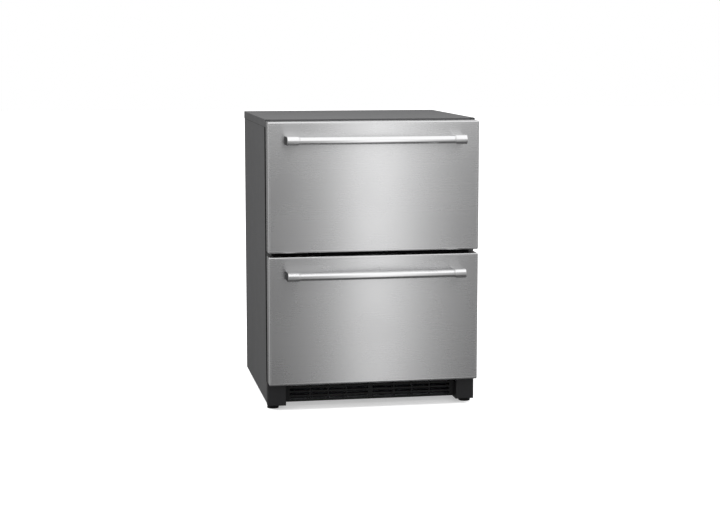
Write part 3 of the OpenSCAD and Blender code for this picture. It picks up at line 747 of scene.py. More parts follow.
    def piece(self, ending: str, finish: Finish, smooth: float = 35.0,
              replaces: bool = True) -> None:
        """Makes the mesh a finished piece that rides on its node's body.

        Args:
            ending: What its name adds to the node's.
            finish: Its surface.
            smooth: Largest bend, in degrees, that is shaded as smooth.
            replaces: Whether it takes the node's place.
        """
        name, body = self.node + ending, body_of(self.node)
        mesh = bpy.data.meshes.new(name)
        self.bm.to_mesh(mesh)
        self.bm.free()
        made = placed(name, mesh)
        mesh.materials.append(finish.material())
        mesh.shade_smooth()
        mesh.set_sharp_from_angle(angle=math.radians(smooth))
        made.modifiers.new("even_shading", "WEIGHTED_NORMAL").keep_sharp = True
        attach(made, body)
        if replaces:
            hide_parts(self.node)
        LOG.info("%s: %d faces on %s", name, len(mesh.polygons), body)


class SubAssembly(ABC):
    """Pieces that are modelled and dressed together."""

    @abstractmethod
    def build(self) -> None:
        """Makes every piece of the sub-assembly."""


# ---------- drawers ----------

class Level(Enum):
    """The two drawers, by the name that starts their nodes' names."""
    UPPER = "upper"
    LOWER = "lower"

    def node(self, part: str) -> str:
        """The node of one of the drawer's parts."""
        return f"{self.value}_{part}"


@dataclass
class DrawerFront(SubAssembly):
    """One drawer front: folded steel skin, inner panel, foam and seal."""
    level: Level
    fold: float = 4.4 * MM
    corner: float = 4.5 * MM
    land: float = 1.8 * MM
    groove: float = 1.2 * MM
    flank: float = 0.6 * MM
    groove_depth: float = 0.22 * MM
    sheet: float = 1 * MM
    field_margin: float = 34 * MM
    field_groove: float = 3 * MM
    field_depth: float = 0.5 * MM
    panel_edge: float = 1.2 * MM
    foam_cut: float = 1.6 * MM
    seal_corner: float = 5 * MM
    # Margin and width in mm, and the start and end as shares of the seal's depth.
    seal_folds: tuple[tuple[float, ...], ...] = (
        (0.0, 12.0, 0.0, 0.22), (2.2, 7.0, 0.20, 0.74), (1.4, 9.4, 0.34, 0.42),
        (1.4, 9.4, 0.52, 0.60), (1.2, 9.6, 0.70, 1.0))

    def skin(self) -> None:
        """A folded sheet with rounded edges and a fine pressed line round its face."""
        work = Workpiece(self.level.node("front_skin"))
        low, high = work.box
        work.block(low, high)
        work.soften(self.corner, 8, edges=work.edges_along(1))
        work.soften(self.fold, 8, edges=work.widest_face(FRONT).edges[:])
        self.gather_corners(work)
        work.inset(work.widest_face(FRONT), (
            (self.land, 0.0), (self.flank, -self.groove_depth), (self.groove, 0.0),
            (self.flank, self.groove_depth)))
        rear = work.widest_face(Y_AXIS)
        work.inset(rear, ((self.sheet, 0.0), (0.0, low.y + 1.5 * self.sheet - high.y)))
        work.soften(self.fold - 1.1 * self.sheet, 6, edges=rear.edges[:])
        work.piece("_sheet", FRONT_STEEL, 24.0)

    def gather_corners(self, work: Workpiece) -> None:
        """Makes each small rounded corner of the front face one point.

        Args:
            work: The skin.
        """
        low, high = work.box
        rim = work.widest_face(FRONT).verts[:]
        spots = [Vector((x, low.y, z)) for x in (low.x + self.corner, high.x - self.corner)
                 for z in (low.z + self.corner, high.z - self.corner)]
        groups = [[v for v in rim if (v.co - spot).length < self.corner] for spot in spots]
        for spot, group in zip(spots, groups):
            bmesh.ops.pointmerge(work.bm, verts=group, merge_co=spot)

    def inner_panel(self) -> None:
        """The plastic panel at the back of the front, with a raised field for the bin."""
        work = Workpiece(self.level.node("front_inner_panel"))
        work.block(*work.box)
        work.inset(work.widest_face(Y_AXIS), (
            (self.field_margin, 0.0), (self.flank, -self.field_depth),
            (self.field_groove, 0.0), (self.flank, self.field_depth)))
        work.soften(self.corner - self.sheet, 6, edges=work.edges_along(1))
        work.soften(self.panel_edge, 3, 60.0)
        work.piece("_moulding", WHITE_PLASTIC)

    def foam(self) -> None:
        """The foam core, its long corners cut back behind the skin's rounding."""
        work = Workpiece(self.level.node("front_foam"))
        low, high = work.box
        work.from_node()
        for side in SIDES:
            for way, z in ((-1, low.z), (1, high.z)):
                out = Vector((side, 0, way)).normalized()
                work.cut(Vector((side * high.x, 0, z)) - out * self.foam_cut, out)
        work.face_out()
        work.piece("_block", FOAM)

    def seal(self) -> None:
        """A bellows gasket: a base, two folds, a neck and the magnet's sleeve."""
        work = Workpiece(self.level.node("seal"))
        low, high = work.box
        deep = high.y - low.y
        for margin, width, start, stop in self.seal_folds:
            outline = upright(high.x - margin * MM, low.y + start * deep, low.z + margin * MM,
                              high.z - margin * MM)
            work.ring(outline, width * MM, (0, (stop - start) * deep, 0), self.seal_corner,
                      0.4 * MM)
        work.piece("_gasket", SEAL_RUBBER)

    def build(self) -> None:
        """Makes the skin, the inner panel, the foam and the seal."""
        for make in (self.skin, self.inner_panel, self.foam, self.seal):
            make()


@dataclass
class Handle(SubAssembly):
    """One tubular handle with its two posts."""
    level: Level
    bar_edge: float = 0.5 * MM
    post_edge: float = 1.6 * MM
    collar: float = 3 * MM
    # Thickness of the dark end plates, painted shade on the posts' ends.
    end_shade_plate: float = 0.6 * MM
    # Square metres; only the posts' own ends are larger.
    end_area: float = 5e-4
    sides: int = 72

    def bar(self) -> None:
        """The tube between the posts."""
        work = Workpiece(self.level.node("handle_bar"))
        low, high = (corner / MM for corner in work.box)
        r, length, edge = (high.z - low.z) / 2, high.x - low.x, self.bar_edge / MM
        work.turned([(0, 0), (r - edge, 0), (r, edge),
                     *((r, share * length) for share in (0.25, 0.5, 0.75)),
                     (r, length - edge), (r - edge, length), (0, length)],
                    aimed((low.x * MM, *middle(work.node).yz), X_AXIS), self.sides)
        work.piece("_tube", HANDLE_STEEL)

    def rounded(self, work: Workpiece, low: Point, high: Point, share: float,
                side: int = 0) -> None:
        """Adds a block whose front is a half round.

        Args:
            work: The mesh that it goes into.
            low: Its lowest corner.
            high: Its highest corner.
            share: The rounding, as a share of half its height.
            side: The side of its post, whose ends' edges are softened; 0 for none.
        """
        made = work.block(low, high)
        front = [e for e in work.edges_along(0, made) if e.verts[0].co.y < low[1] + TOUCH]
        work.soften((high[2] - low[2]) / 2 * share, 14, edges=front)
        if side:
            work.bm.normal_update()
            ends = {e for f in work.bm.faces if abs(f.normal.x) > 0.999
                    and f.calc_area() > self.end_area for e in f.edges
                    if min(v.co.y for v in e.verts) < high[1] - 10 * TOUCH
                    and all(v.co.x * side > 0 for v in e.verts)}
            work.soften(self.post_edge, 4, edges=ends)

    def posts(self) -> None:
        """Posts with a rounded front, each with a collar towards the bar and a dark end plate
        that is painted shade on the post's end.
        """
        node, bar = self.level.node("handle_posts"), self.level.node("handle_bar")
        work, shade_plates = Workpiece(node), Workpiece(node)
        (low, high), (bar_low, bar_high) = work.box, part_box(bar)
        r, inset = (bar_high.z - bar_low.z) / 2 / MM, 0.8 * self.post_edge
        for side in SIDES:
            x0, x1 = sorted((side * high.x, side * (high.x - self.end_shade_plate)))
            self.rounded(shade_plates, (x0, low.y + inset, low.z + inset),
                         (x1, high.y, high.z - inset), 0.99)
            x0, x1 = sorted((side * (bar_high.x + self.collar),
                             side * (high.x - 0.5 * self.end_shade_plate)))
            self.rounded(work, (x0, low.y, low.z), (x1, high.y, high.z), 0.992, side)
            work.turned([(0, 0), (r + 0.6, 0), (r + 1, 0.4), (r + 1, 1.2), (r + 0.6, 1.6),
                         (r - 0.5, 1.6), (r - 0.5, 4), (0, 4)],
                        aimed((side * bar_high.x, *middle(bar).yz), (side, 0, 0)), self.sides)
        work.piece("_pair", HANDLE_STEEL)
        shade_plates.piece("_ends", POST_END_PAINTED_SHADE)

    def build(self) -> None:
        """Makes the bar and the posts."""
        self.bar()
        self.posts()


@dataclass
class DrawerBin(SubAssembly):
    """The plastic tub of one drawer; the lower one steps over the compressor room."""
    level: Level
    step_at: Optional[tuple[float, float]] = None
    wall: float = 2.5 * MM
    lip: float = 4 * MM
    lip_edge: float = 1 * MM
    upright_radius: float = 14 * MM
    floor_radius: float = 8 * MM

    def outline(self, low: Vector, high: Vector) -> list[Vector]:
        """Corners of the tub's side view, at its left wall.

        Args:
            low: Lowest corner of the tub.
            high: Highest corner of the tub.

        Returns:
            The corners in order.
        """
        foot = [(high.y, low.z)]
        if self.step_at:
            foot = [(self.step_at[0], low.z), self.step_at, (high.y, self.step_at[1])]
        shape = [(low.y, high.z), (low.y, low.z), *foot, (high.y, high.z)]
        return [Vector((low.x, y, z)) for y, z in shape]

    def build(self) -> None:
        """Makes the tub with rounded corners and its turned lip."""
        work = Workpiece(self.level.node("bin"))
        low, high = work.box
        tub_low = low + Vector((self.lip, 0, 0))
        tub_high = high - Vector((self.lip, self.lip, 0))
        top = tub_high.z - TOUCH
        work.pull([work.flat(self.outline(tub_low, tub_high))], (tub_high.x - tub_low.x, 0, 0))
        work.soften(self.upright_radius, 6, edges=[
            e for e in work.edges_along(2) if max(v.co.z for v in e.verts) > top])
        work.bm.normal_update()
        work.soften(self.floor_radius, 5, edges=[
            e for e in work.bm.edges if e.is_manifold
            and e.calc_face_angle(0.0) > math.radians(50)
            and not all(v.co.z > top for v in e.verts)])
        bmesh.ops.delete(work.bm, geom=[work.widest_face(Z_AXIS)], context="FACES_ONLY")
        bmesh.ops.solidify(work.bm, geom=work.bm.faces[:], thickness=self.wall)
        z = high.z - self.lip
        outline = [Vector(c) for c in ((low.x, low.y, z), (high.x, low.y, z),
                                       (high.x, high.y, z), (low.x, high.y, z))]
        work.ring(outline, self.lip + self.wall + 0.3 * MM, (0, 0, self.lip - 0.1 * MM),
                  self.upright_radius + self.lip * 0.5, self.lip_edge)
        work.piece("_tub", BIN_PLASTIC)


@dataclass(frozen=True)
class CrossHeadScrew:
    """A screw with a domed head and a cross recess, its seat at 0 on Z; sizes in mm."""
    head: float
    height: float
    shank: float
    length: float
    slot: float = 0.13

    def mesh(self) -> Workpiece:
        """Makes the screw.

        Returns:
            Its mesh.
        """
        work = Workpiece()
        r, h = self.head, self.height
        work.turned([(0, h), (0.3 * r, h * 0.985), (0.58 * r, h * 0.92), (0.85 * r, h * 0.68),
                     (0.97 * r, h * 0.34), (r, 0.08 * h), (0.98 * r, 0),
                     (self.shank, 0), (self.shank, -self.length), (0, -self.length)],
                    aimed((0, 0, 0)), 24)
        r, h = r * MM, h * MM
        slot = self.slot * r
        for axis in (X_AXIS, Y_AXIS):
            for offset in (-slot, slot):
                work.cut(Vector(axis) * offset, axis, False)
        work.weld()
        work.bm.normal_update()
        recess = [f for f in work.bm.faces for c in (f.calc_center_median(),)
                  if c.z > 0.9 * h and min(abs(c.x), abs(c.y)) < slot and c.xy.length < 0.56 * r]
        bmesh.ops.inset_region(work.bm, faces=recess, thickness=0.02 * r, depth=-0.45 * h)
        return work


@dataclass
class Fasteners(SubAssembly):
    """Every screw whose head can be seen."""
    rear_screw: CrossHeadScrew = CrossHeadScrew(4, 2, 2, 2)
    rear_x: float = 295 * MM
    rear_y: float = 331.5 * MM
    rear_z: tuple[float, ...] = (0.040, 0.151, 0.270, 0.330, 0.548, 0.780)
    rail_screw: CrossHeadScrew = CrossHeadScrew(4, 1.8, 2, 3)
    rail_x: float = 259.8 * MM
    rail_y: tuple[float, ...] = (-0.1755, 0.00525, 0.186)
    rail_z: tuple[float, ...] = (0.341, 0.720)
    bin_screw: CrossHeadScrew = CrossHeadScrew(4, 2, 2, 2.5)
    bin_x: tuple[float, ...] = (-0.170, 0.0, 0.170)
    bin_z: tuple[float, ...] = (0.074, 0.260)
    handle_screw: CrossHeadScrew = CrossHeadScrew(7, 5, 3, 24)
    handle_x: float = 238.5 * MM

    def cabinet(self) -> None:
        """Screws of the rear panels and of the cabinet's slide rails."""
        work = Workpiece("cabinet_screws")
        work.stamp(self.rear_screw.mesh(), [
            aimed((side * self.rear_x, self.rear_y, z), Y_AXIS, 31 * i + 12 * side)
            for i, z in enumerate(self.rear_z) for side in SIDES])
        work.stamp(self.rail_screw.mesh(), [
            aimed((side * self.rail_x, y, z), (-side, 0, 0), 40 * i)
            for i, y in enumerate(self.rail_y) for z in self.rail_z for side in SIDES])
        work.piece("_set", ZINC)

    def drawer(self, level: Level) -> None:
        """Screws of one drawer's bin and handle.

        Args:
            level: The drawer.
        """
        work = Workpiece(level.node("drawer_screws"))
        low, high = work.box
        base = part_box(level.node("front_skin"))[0].z
        work.stamp(self.bin_screw.mesh(), [
            aimed((x, high.y - self.bin_screw.height * MM, base + z), Y_AXIS,
                  90 * x / self.bin_x[-1] + 200 * z) for x in self.bin_x for z in self.bin_z])
        y, z = low.y + self.handle_screw.length * MM, middle(level.node("handle_bar")).z
        work.stamp(self.handle_screw.mesh(), [
            aimed((side * self.handle_x, y, z), Y_AXIS) for side in SIDES])
        work.piece("_set", ZINC)

    def build(self) -> None:
        """Makes all screws."""
        self.cabinet()
        for level in Level:
            self.drawer(level)


# ---------- cabinet ----------

@dataclass(frozen=True)
class Refit:
    """How a merged copy of one frame node is rounded, in mm, and dressed."""
    node: str
    finish: Finish
    edge: float
    segments: int = 2
    hollow: float = 0.0

    def build(self) -> None:
        """Makes the piece that stands for the node."""
        work = Workpiece(self.node)
        work.from_node()
        work.fillet(self.hollow * MM)
        work.soften(self.edge * MM, self.segments, 40.0)
        work.piece("_worked", self.finish)


@dataclass
class Cabinet(SubAssembly):
    """Sheet metal, liner and mouldings whose shape the frame already gives."""
    refits: tuple[Refit, ...] = (
        Refit("side_panels", DARK_ENAMEL, 0.3),
        Refit("top_cover", DARK_ENAMEL, 0.4),
        Refit("face_frame", FRAME_ENAMEL_AS_GAP_SHADE, 0.3),
        Refit("back_panel", GALVANISED, 0.3),
        Refit("rear_access_cover", GALVANISED, 0.35),
        Refit("base_pan", GALVANISED, 0.3),
        Refit("compressor_room_wall", GALVANISED, 0.2),
        Refit("liner", WHITE_PLASTIC, 0.4, 2, 7),
        Refit("mullion_bar", WHITE_PLASTIC, 0.8),
        Refit("toe_grille", FINE_BLACK_PLASTIC, 0.6),
        Refit("corner_blocks", BLACK_PLASTIC, 1.2, 3),
        Refit("leg_nuts", ZINC, 0.5),
        Refit("evaporator_cover", WHITE_PLASTIC, 0.5),
        Refit("evaporator_coil", FIN_METAL, 0.0),
        Refit("drip_tray", WHITE_PLASTIC, 0.4),
        Refit("fan_motors", FINE_BLACK_PLASTIC, 0.6),
        Refit("compressor", CAN_ENAMEL, 0.8, 3),
        Refit("compressor_grommets", BLACK_RUBBER, 0.8),
        Refit("compressor_relay_box", BLACK_PLASTIC, 1.6, 3),
        Refit("condenser_coil", BLACK_FINS, 0.0),
        Refit("condenser_fan_shroud", BLACK_PLASTIC, 0.6),
        Refit("condensate_pan", BLACK_PLASTIC, 0.6, 2, 3),
        Refit("power_gland", BLACK_PLASTIC, 0.5),
        Refit("control_housing", WHITE_PLASTIC, 0.5),
        Refit("led_lamp", LENS, 0.4),
        *(Refit(f"{run}_rails", ZINC, 0.3) for run in (
            "cabinet_slide", "upper_drawer", "lower_drawer", "upper_middle", "lower_middle")),
    )
    foam_node: str = "insulation"
    # Sizes of the painted shadow strips: the ring round the face frame, the side returns, the
    # line below the skirt and the strips on its front.
    shadow_ring_width: float = 14 * MM
    shadow_strip_thickness: float = 0.2 * MM
    shadow_return_width: float = 24 * MM
    shadow_ring_corner: float = 2 * MM
    shadow_strip_edge: float = 0.05 * MM
    top_gap: float = 3 * MM
    seam_shadow_height: float = 0.9 * MM
    seam_shadow_end: float = 1 * MM
    skirt_corner: float = 0.3 * MM

    def painted_gap_shadows(self) -> None:
        """Painted shadow: a black ring round the face frame and black strips beside it and round
        the top cover's skirt, for the shade in those gaps.
        """
        work = Workpiece("face_frame")
        bottom = work.box[0].z
        panel_low, panel_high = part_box("side_panels")
        skirt_low, skirt_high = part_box("top_cover")
        out, side = panel_high.x, panel_high.x + self.shadow_strip_thickness
        y, top = panel_low.y, skirt_high.z - self.top_gap
        front, turn = y - self.shadow_strip_thickness, y + self.shadow_return_width
        strips = (
            ((out, front, bottom), (side, turn, top)),
            ((out, turn, skirt_low.z - self.seam_shadow_height),
             (side, panel_high.y - self.seam_shadow_end, skirt_low.z)),
            ((out - self.shadow_ring_width, skirt_low.y - self.shadow_strip_thickness, top),
             (skirt_high.x - self.skirt_corner, skirt_low.y, skirt_high.z - self.top_gap / 2)))
        work.ring(upright(side, front, bottom, top), self.shadow_ring_width,
                  (0, self.shadow_strip_thickness, 0), self.shadow_ring_corner, self.shadow_strip_edge)
        for way in SIDES:
            for (near, y0, z0), (far, y1, z1) in strips:
                x0, x1 = sorted((way * near, way * far))
                strip = Workpiece()
                strip.block((x0, y0, z0), (x1, y1, z1))
                strip.soften(self.shadow_strip_edge, 1, 60.0)
                work.stamp(strip)
        work.piece("_border", GAP_SHADOW_BLACK, replaces=False)

    def build(self) -> None:
        """Makes the refitted pieces and the painted gap shadows, and gives the foam its finish.
        """
        for refit in self.refits:
            refit.build()
        self.painted_gap_shadows()
        materials = frame["nodes"][self.foam_node].data.materials
        materials.clear()
        materials.append(FOAM.material())


@dataclass
class LevellingFoot(SubAssembly):
    """A rubber-faced pad on a threaded stud with its hexagon; sizes in mm."""
    corner: str
    pitch: float = 1.5
    crest: float = 5.0
    depth: float = 0.55
    steps: int = 28
    # Its radius, its bottom and its top.
    hexagon: Triple = (9.5, 8.3, 11.7)

    def pad(self) -> None:
        """The pad: a disc with a chamfer, a raised rim and a socket."""
        work = Workpiece(f"foot_pad_{self.corner}")
        low, high = (corner / MM for corner in work.box)
        r, h = (high.x - low.x) / 2, high.z
        work.turned([(0, 0), (r - 2, 0), (r - 0.6, 0.3), (r, 1.2), (r, 3.4), (r - 0.7, 3.8),
                     (r - 0.7, 4.2), (r, 4.6), (r - 0.3, 5.3), (r - 4.6, h - 0.3),
                     (r - 5.6, h), (5.5, h), (5.1, h - 0.4), (5.1, 2.7), (0, 2.7)],
                    aimed((*middle(work.node).xy, 0)), 64)
        work.piece("_turned", BLACK_RUBBER)

    def stud(self) -> None:
        """The stud: a screw thread cut to length, and the hexagon near its foot."""
        work = Workpiece(f"foot_stud_{self.corner}")
        low, high = work.box
        pitch, root = self.pitch * MM, self.crest - self.depth
        chain = []
        for i in range(int((high.z - low.z) / pitch) + 3):
            z = low.z + (i - 1.5) * pitch
            chain += [(r * MM, 0, z + share * pitch) for r, share in
                      ((self.crest, 0), (self.crest, 0.18), (root, 0.5), (root, 0.68))]
        work.sweep(chain, Z_AXIS, pitch, 2 * math.pi, self.steps)
        work.weld()
        work.cut((0, 0, low.z), (0, 0, -1))
        work.cut((0, 0, high.z), Z_AXIS)
        work.face_out()
        radius, z0, z1 = (v * MM for v in self.hexagon)
        nut = Workpiece()
        bmesh.ops.create_cone(nut.bm, cap_ends=True, segments=6, radius1=radius, radius2=radius,
                              depth=z1 - z0, matrix=aimed((0, 0, (z0 + z1) / 2), spin=90))
        nut.soften(0.6 * MM, 2, 50.0)
        work.stamp(nut)
        bmesh.ops.translate(work.bm, vec=(*middle(work.node).xy, 0), verts=work.bm.verts[:])
        work.piece("_threaded", ZINC)

    def build(self) -> None:
        """Makes the pad and the stud."""
        self.pad()
        self.stud()


@dataclass
class FanWheel(SubAssembly):
    """A fan wheel with twisted blades; sizes in mm, its centre in metres."""
    node: str
    finish: Finish
    centre: tuple[float, float]
    radius: float
    hub: float
    depth: float
    bore: float
    blades: int = 5
    twist: float = 46.0
    thickness: float = 1.3
    rows: int = 6
    steps: int = 8

    def blade(self) -> Workpiece:
        """One blade: a radial line swept round and along the axis, with a soft tip.

        Returns:
            Its mesh.
        """
        work = Workpiece()
        root, tip = (self.hub - 1.5) * MM, (self.radius - self.thickness) * MM
        travel = min(self.depth * 0.72, 0.5 * self.radius) * MM
        work.sweep([(root + (tip - root) * i / self.rows, 0, 0) for i in range(self.rows + 1)],
                   Y_AXIS, travel, math.radians(self.twist), self.steps)
        bmesh.ops.translate(work.bm, vec=(0, (self.depth * MM - travel) / 2, 0),
                            verts=work.bm.verts[:])
        tips = [v for v in work.bm.verts if len(v.link_edges) == 2
                and v.co.xz.length > tip * 0.99]
        bmesh.ops.bevel(work.bm, geom=tips, offset=self.radius * 0.1 * MM, segments=4,
                        offset_type="OFFSET", profile=0.5, affect="VERTICES", material=-1,
                        clamp_overlap=True)
        work.face_out()
        bmesh.ops.solidify(work.bm, geom=work.bm.faces[:], thickness=self.thickness * MM)
        return work

    def build(self) -> None:
        """Makes the hub, its bore and the blades."""
        hub, bore, d = self.hub, self.bore, self.depth
        work = Workpiece(self.node)
        work.turned([(bore, 0), (bore + 2.2, 0), (bore + 2.6, 0.8), (hub * 0.72, 0.8),
                     (hub * 0.8, 0), (hub - 1.2, 0), (hub, 1.2), (hub, d - 0.5), (hub - 0.5, d),
                     (bore, d), (bore, 0)], aimed((0, 0, 0), Y_AXIS))
        work.stamp(self.blade(), [Matrix.Rotation(2 * math.pi * i / self.blades, 4, "Y")
                                  for i in range(self.blades)])
        x, z = self.centre
        bmesh.ops.translate(work.bm, vec=(x, work.box[0].y, z), verts=work.bm.verts[:])
        work.piece("_wheel", self.finish)


@dataclass
class ThermostatKnob(SubAssembly):
    """The knob: a skirt, a fluted grip and a raised pointer."""
    flutes: int = 24
    flute_depth: float = 0.35 * MM
    # The flutes are cut into what lies between these radii.
    grip: tuple[float, float] = (8.2 * MM, 8.9 * MM)
    proud: float = 1.6 * MM
    # Half its width, its depth and half its height.
    pointer: Triple = (1.5 * MM, 3 * MM, 8 * MM)

    def build(self) -> None:
        """Makes the knob."""
        work = Workpiece("thermostat_knob")
        low, high = work.box
        x, z = middle(work.node).xz
        front = low.y + self.proud
        deep = (high.y - front) / MM
        made = work.turned([(0, 0), (6.6, 0.05), (7.7, 0.4), (8.4, 1.3), (8.6, 2.4), (8.6, 7),
                            (9.6, 7), (10, 7.4), (10, deep - 0.4), (9.6, deep), (3.1, deep),
                            (3.1, 2.7), (0, 2.7)], aimed((x, front, z), Y_AXIS),
                           2 * self.flutes)
        for vert in made:
            out = Vector((vert.co.x - x, 0, vert.co.z - z))
            turn = math.atan2(out.z, out.x) / math.pi * self.flutes
            if self.grip[0] < out.length < self.grip[1] and round(turn) % 2:
                vert.co -= out.normalized() * self.flute_depth
        wide, thick, tall = self.pointer
        pointer = Workpiece()
        pointer.block((x - wide, low.y, z - tall), (x + wide, low.y + thick, z + tall))
        pointer.soften(0.7 * MM, 3, 60.0)
        work.stamp(pointer)
        work.piece("_turned", GREY_PLASTIC, 30.0)


@dataclass(frozen=True)
class TubeRun:
    """One run of tube in mm: its corner points, its radius and the radius of its bends."""
    points: tuple[Triple, ...]
    radius: float
    bend: float
    facets: int = 8

    def path(self) -> list[Vector]:
        """The run's line with its corners rounded.

        Returns:
            Points along it.
        """
        corners = [Vector(p) * MM for p in self.points]
        found = [corners[0]]
        for before, at, after in zip(corners, corners[1:], corners[2:]):
            back, on = before - at, after - at
            reach = min(self.bend * MM, back.length * 0.45, on.length * 0.45)
            start, stop = at + back.normalized() * reach, at + on.normalized() * reach
            found += [start.lerp(at, t).lerp(at.lerp(stop, t), t)
                      for t in (i / self.facets for i in range(self.facets + 1))]
        return found + [corners[-1]]

    def add_to(self, work: Workpiece) -> None:
        """Adds the tube, closed at its ends.

        Args:
            work: The mesh that it goes into.
        """
        curve = bpy.data.curves.new("tube_run", "CURVE")
        curve.dimensions = "3D"
        curve.bevel_depth = self.radius * MM
        curve.bevel_resolution = 6
        curve.use_fill_caps = True
        path = self.path()
        spline = curve.splines.new("POLY")
        spline.points.add(len(path) - 1)
        for point, place in zip(spline.points, path):
            point.co = (*place, 1.0)
        holder = placed("tube_run", curve)
        view = bpy.context.evaluated_depsgraph_get()
        mesh = bpy.data.meshes.new_from_object(holder.evaluated_get(view))
        work.bm.from_mesh(mesh)
        for store, data in ((bpy.data.objects, holder), (bpy.data.curves, curve),
                            (bpy.data.meshes, mesh)):
            store.remove(data)


@dataclass
class RefrigerantLines(SubAssembly):
    """Copper lines and the filter drier of the compressor room."""
    runs: tuple[TubeRun, ...] = (
        TubeRun(((-90, 222, 114.5), (20, 222, 114.5), (20, 142.82, 114.5),
                 (50, 142.82, 114.5)), 3.0, 14.0),
        TubeRun(((-200, 281, 542), (-252, 281, 542), (-252, 281, 120), (-252, 222, 120),
                 (-240, 222, 120)), 4.0, 12.0),
        TubeRun(((50, 142.82, 38.5), (0, 142.82, 38.5), (0, 142.82, 70)), 3.0, 12.0),
        TubeRun(((0, 142.82, 148), (0, 142.82, 205), (0, 281, 205), (-248.5, 281, 205)), 1.5,
                10.0),
    )
    drier_place: Triple = (0.0, 0.14282, 0.0)
    drier: Profile = (
        (0, 66), (3.4, 66), (3.6, 72), (9, 81), (9, 86), (8.46, 87), (9, 88), (9, 132),
        (7.2, 138), (2.2, 147), (2, 150), (0, 150))

    def build(self) -> None:
        """Makes the lines and the drier as one piece."""
        work = Workpiece("refrigerant_lines")
        for run in self.runs:
            run.add_to(work)
        work.weld()
        work.face_out()
        work.turned(self.drier, aimed(self.drier_place), 40)
        work.piece("_bent", COPPER)


# ---------- studio ----------

@dataclass(frozen=True)
class SoftLight:
    """A soft lamp that metal doesn't mirror: place, what it looks at, size and power."""
    name: str
    place: Triple
    target: Triple
    size: tuple[float, float]
    power: float

    def build(self) -> None:
        """Makes the lamp."""
        lamp = bpy.data.lights.new(self.name, "AREA")
        lamp.shape = "RECTANGLE"
        lamp.size, lamp.size_y = self.size
        lamp.energy = self.power
        holder = placed(self.name, lamp)
        holder.location = self.place
        look = Vector(self.target) - Vector(self.place)
        holder.rotation_euler = look.to_track_quat("-Z", "Y").to_euler()
        holder.visible_glossy = holder.visible_camera = False


class Shown(Enum):
    """Which rays see a sheet of the studio."""
    MIRRORS_ONLY = 0
    ALL_BUT_MIRRORS = 1


@dataclass(frozen=True)
class Sheet:
    """A flat sheet of the studio, with an even glow if no other surface is given."""
    name: str
    low: Triple
    high: Triple
    level: float = 1.0
    shown: Shown = Shown.MIRRORS_ONLY

    def glowing(self, graph: Graph, colour: Any) -> bpy.types.Material:
        """Makes a graph a surface that only gives off light.

        Args:
            graph: Its nodes.
            colour: The light's colour, a value or a socket.

        Returns:
            The material.
        """
        light = graph.node("Emission", {"Color": colour, "Strength": self.level})
        graph.surface(light.outputs[0])
        graph.tree.nodes.remove(graph.tree.nodes["Principled BSDF"])
        return graph.owner

    def build(self, material: Optional[bpy.types.Material] = None) -> None:
        """Makes the sheet.

        Args:
            material: Its surface, if it isn't an even glow.
        """
        bm = bmesh.new()
        bmesh.ops.create_grid(bm, x_segments=1, y_segments=1, size=0.5)
        low, high = Vector(self.low), Vector(self.high)
        size = high - low
        if size.z:
            bmesh.ops.rotate(bm, cent=(0, 0, 0), verts=bm.verts[:], matrix=Matrix.Rotation(
                math.radians(90), 3, "X" if size.y == 0 else "Y"))
        bmesh.ops.scale(bm, vec=[s or 1.0 for s in size], verts=bm.verts[:])
        bmesh.ops.translate(bm, vec=(high + low) / 2, verts=bm.verts[:])
        mesh = bpy.data.meshes.new(self.name)
        bm.to_mesh(mesh)
        bm.free()
        mesh.materials.append(material or self.glowing(
            Graph(bpy.data.materials.new(self.name + "_glow")), WHITE))
        board = placed(self.name, mesh)
        board.visible_glossy = self.shown is Shown.MIRRORS_ONLY
        for ray in ("camera", "diffuse", "transmission", "shadow"):
            setattr(board, "visible_" + ray, self.shown is Shown.ALL_BUT_MIRRORS)


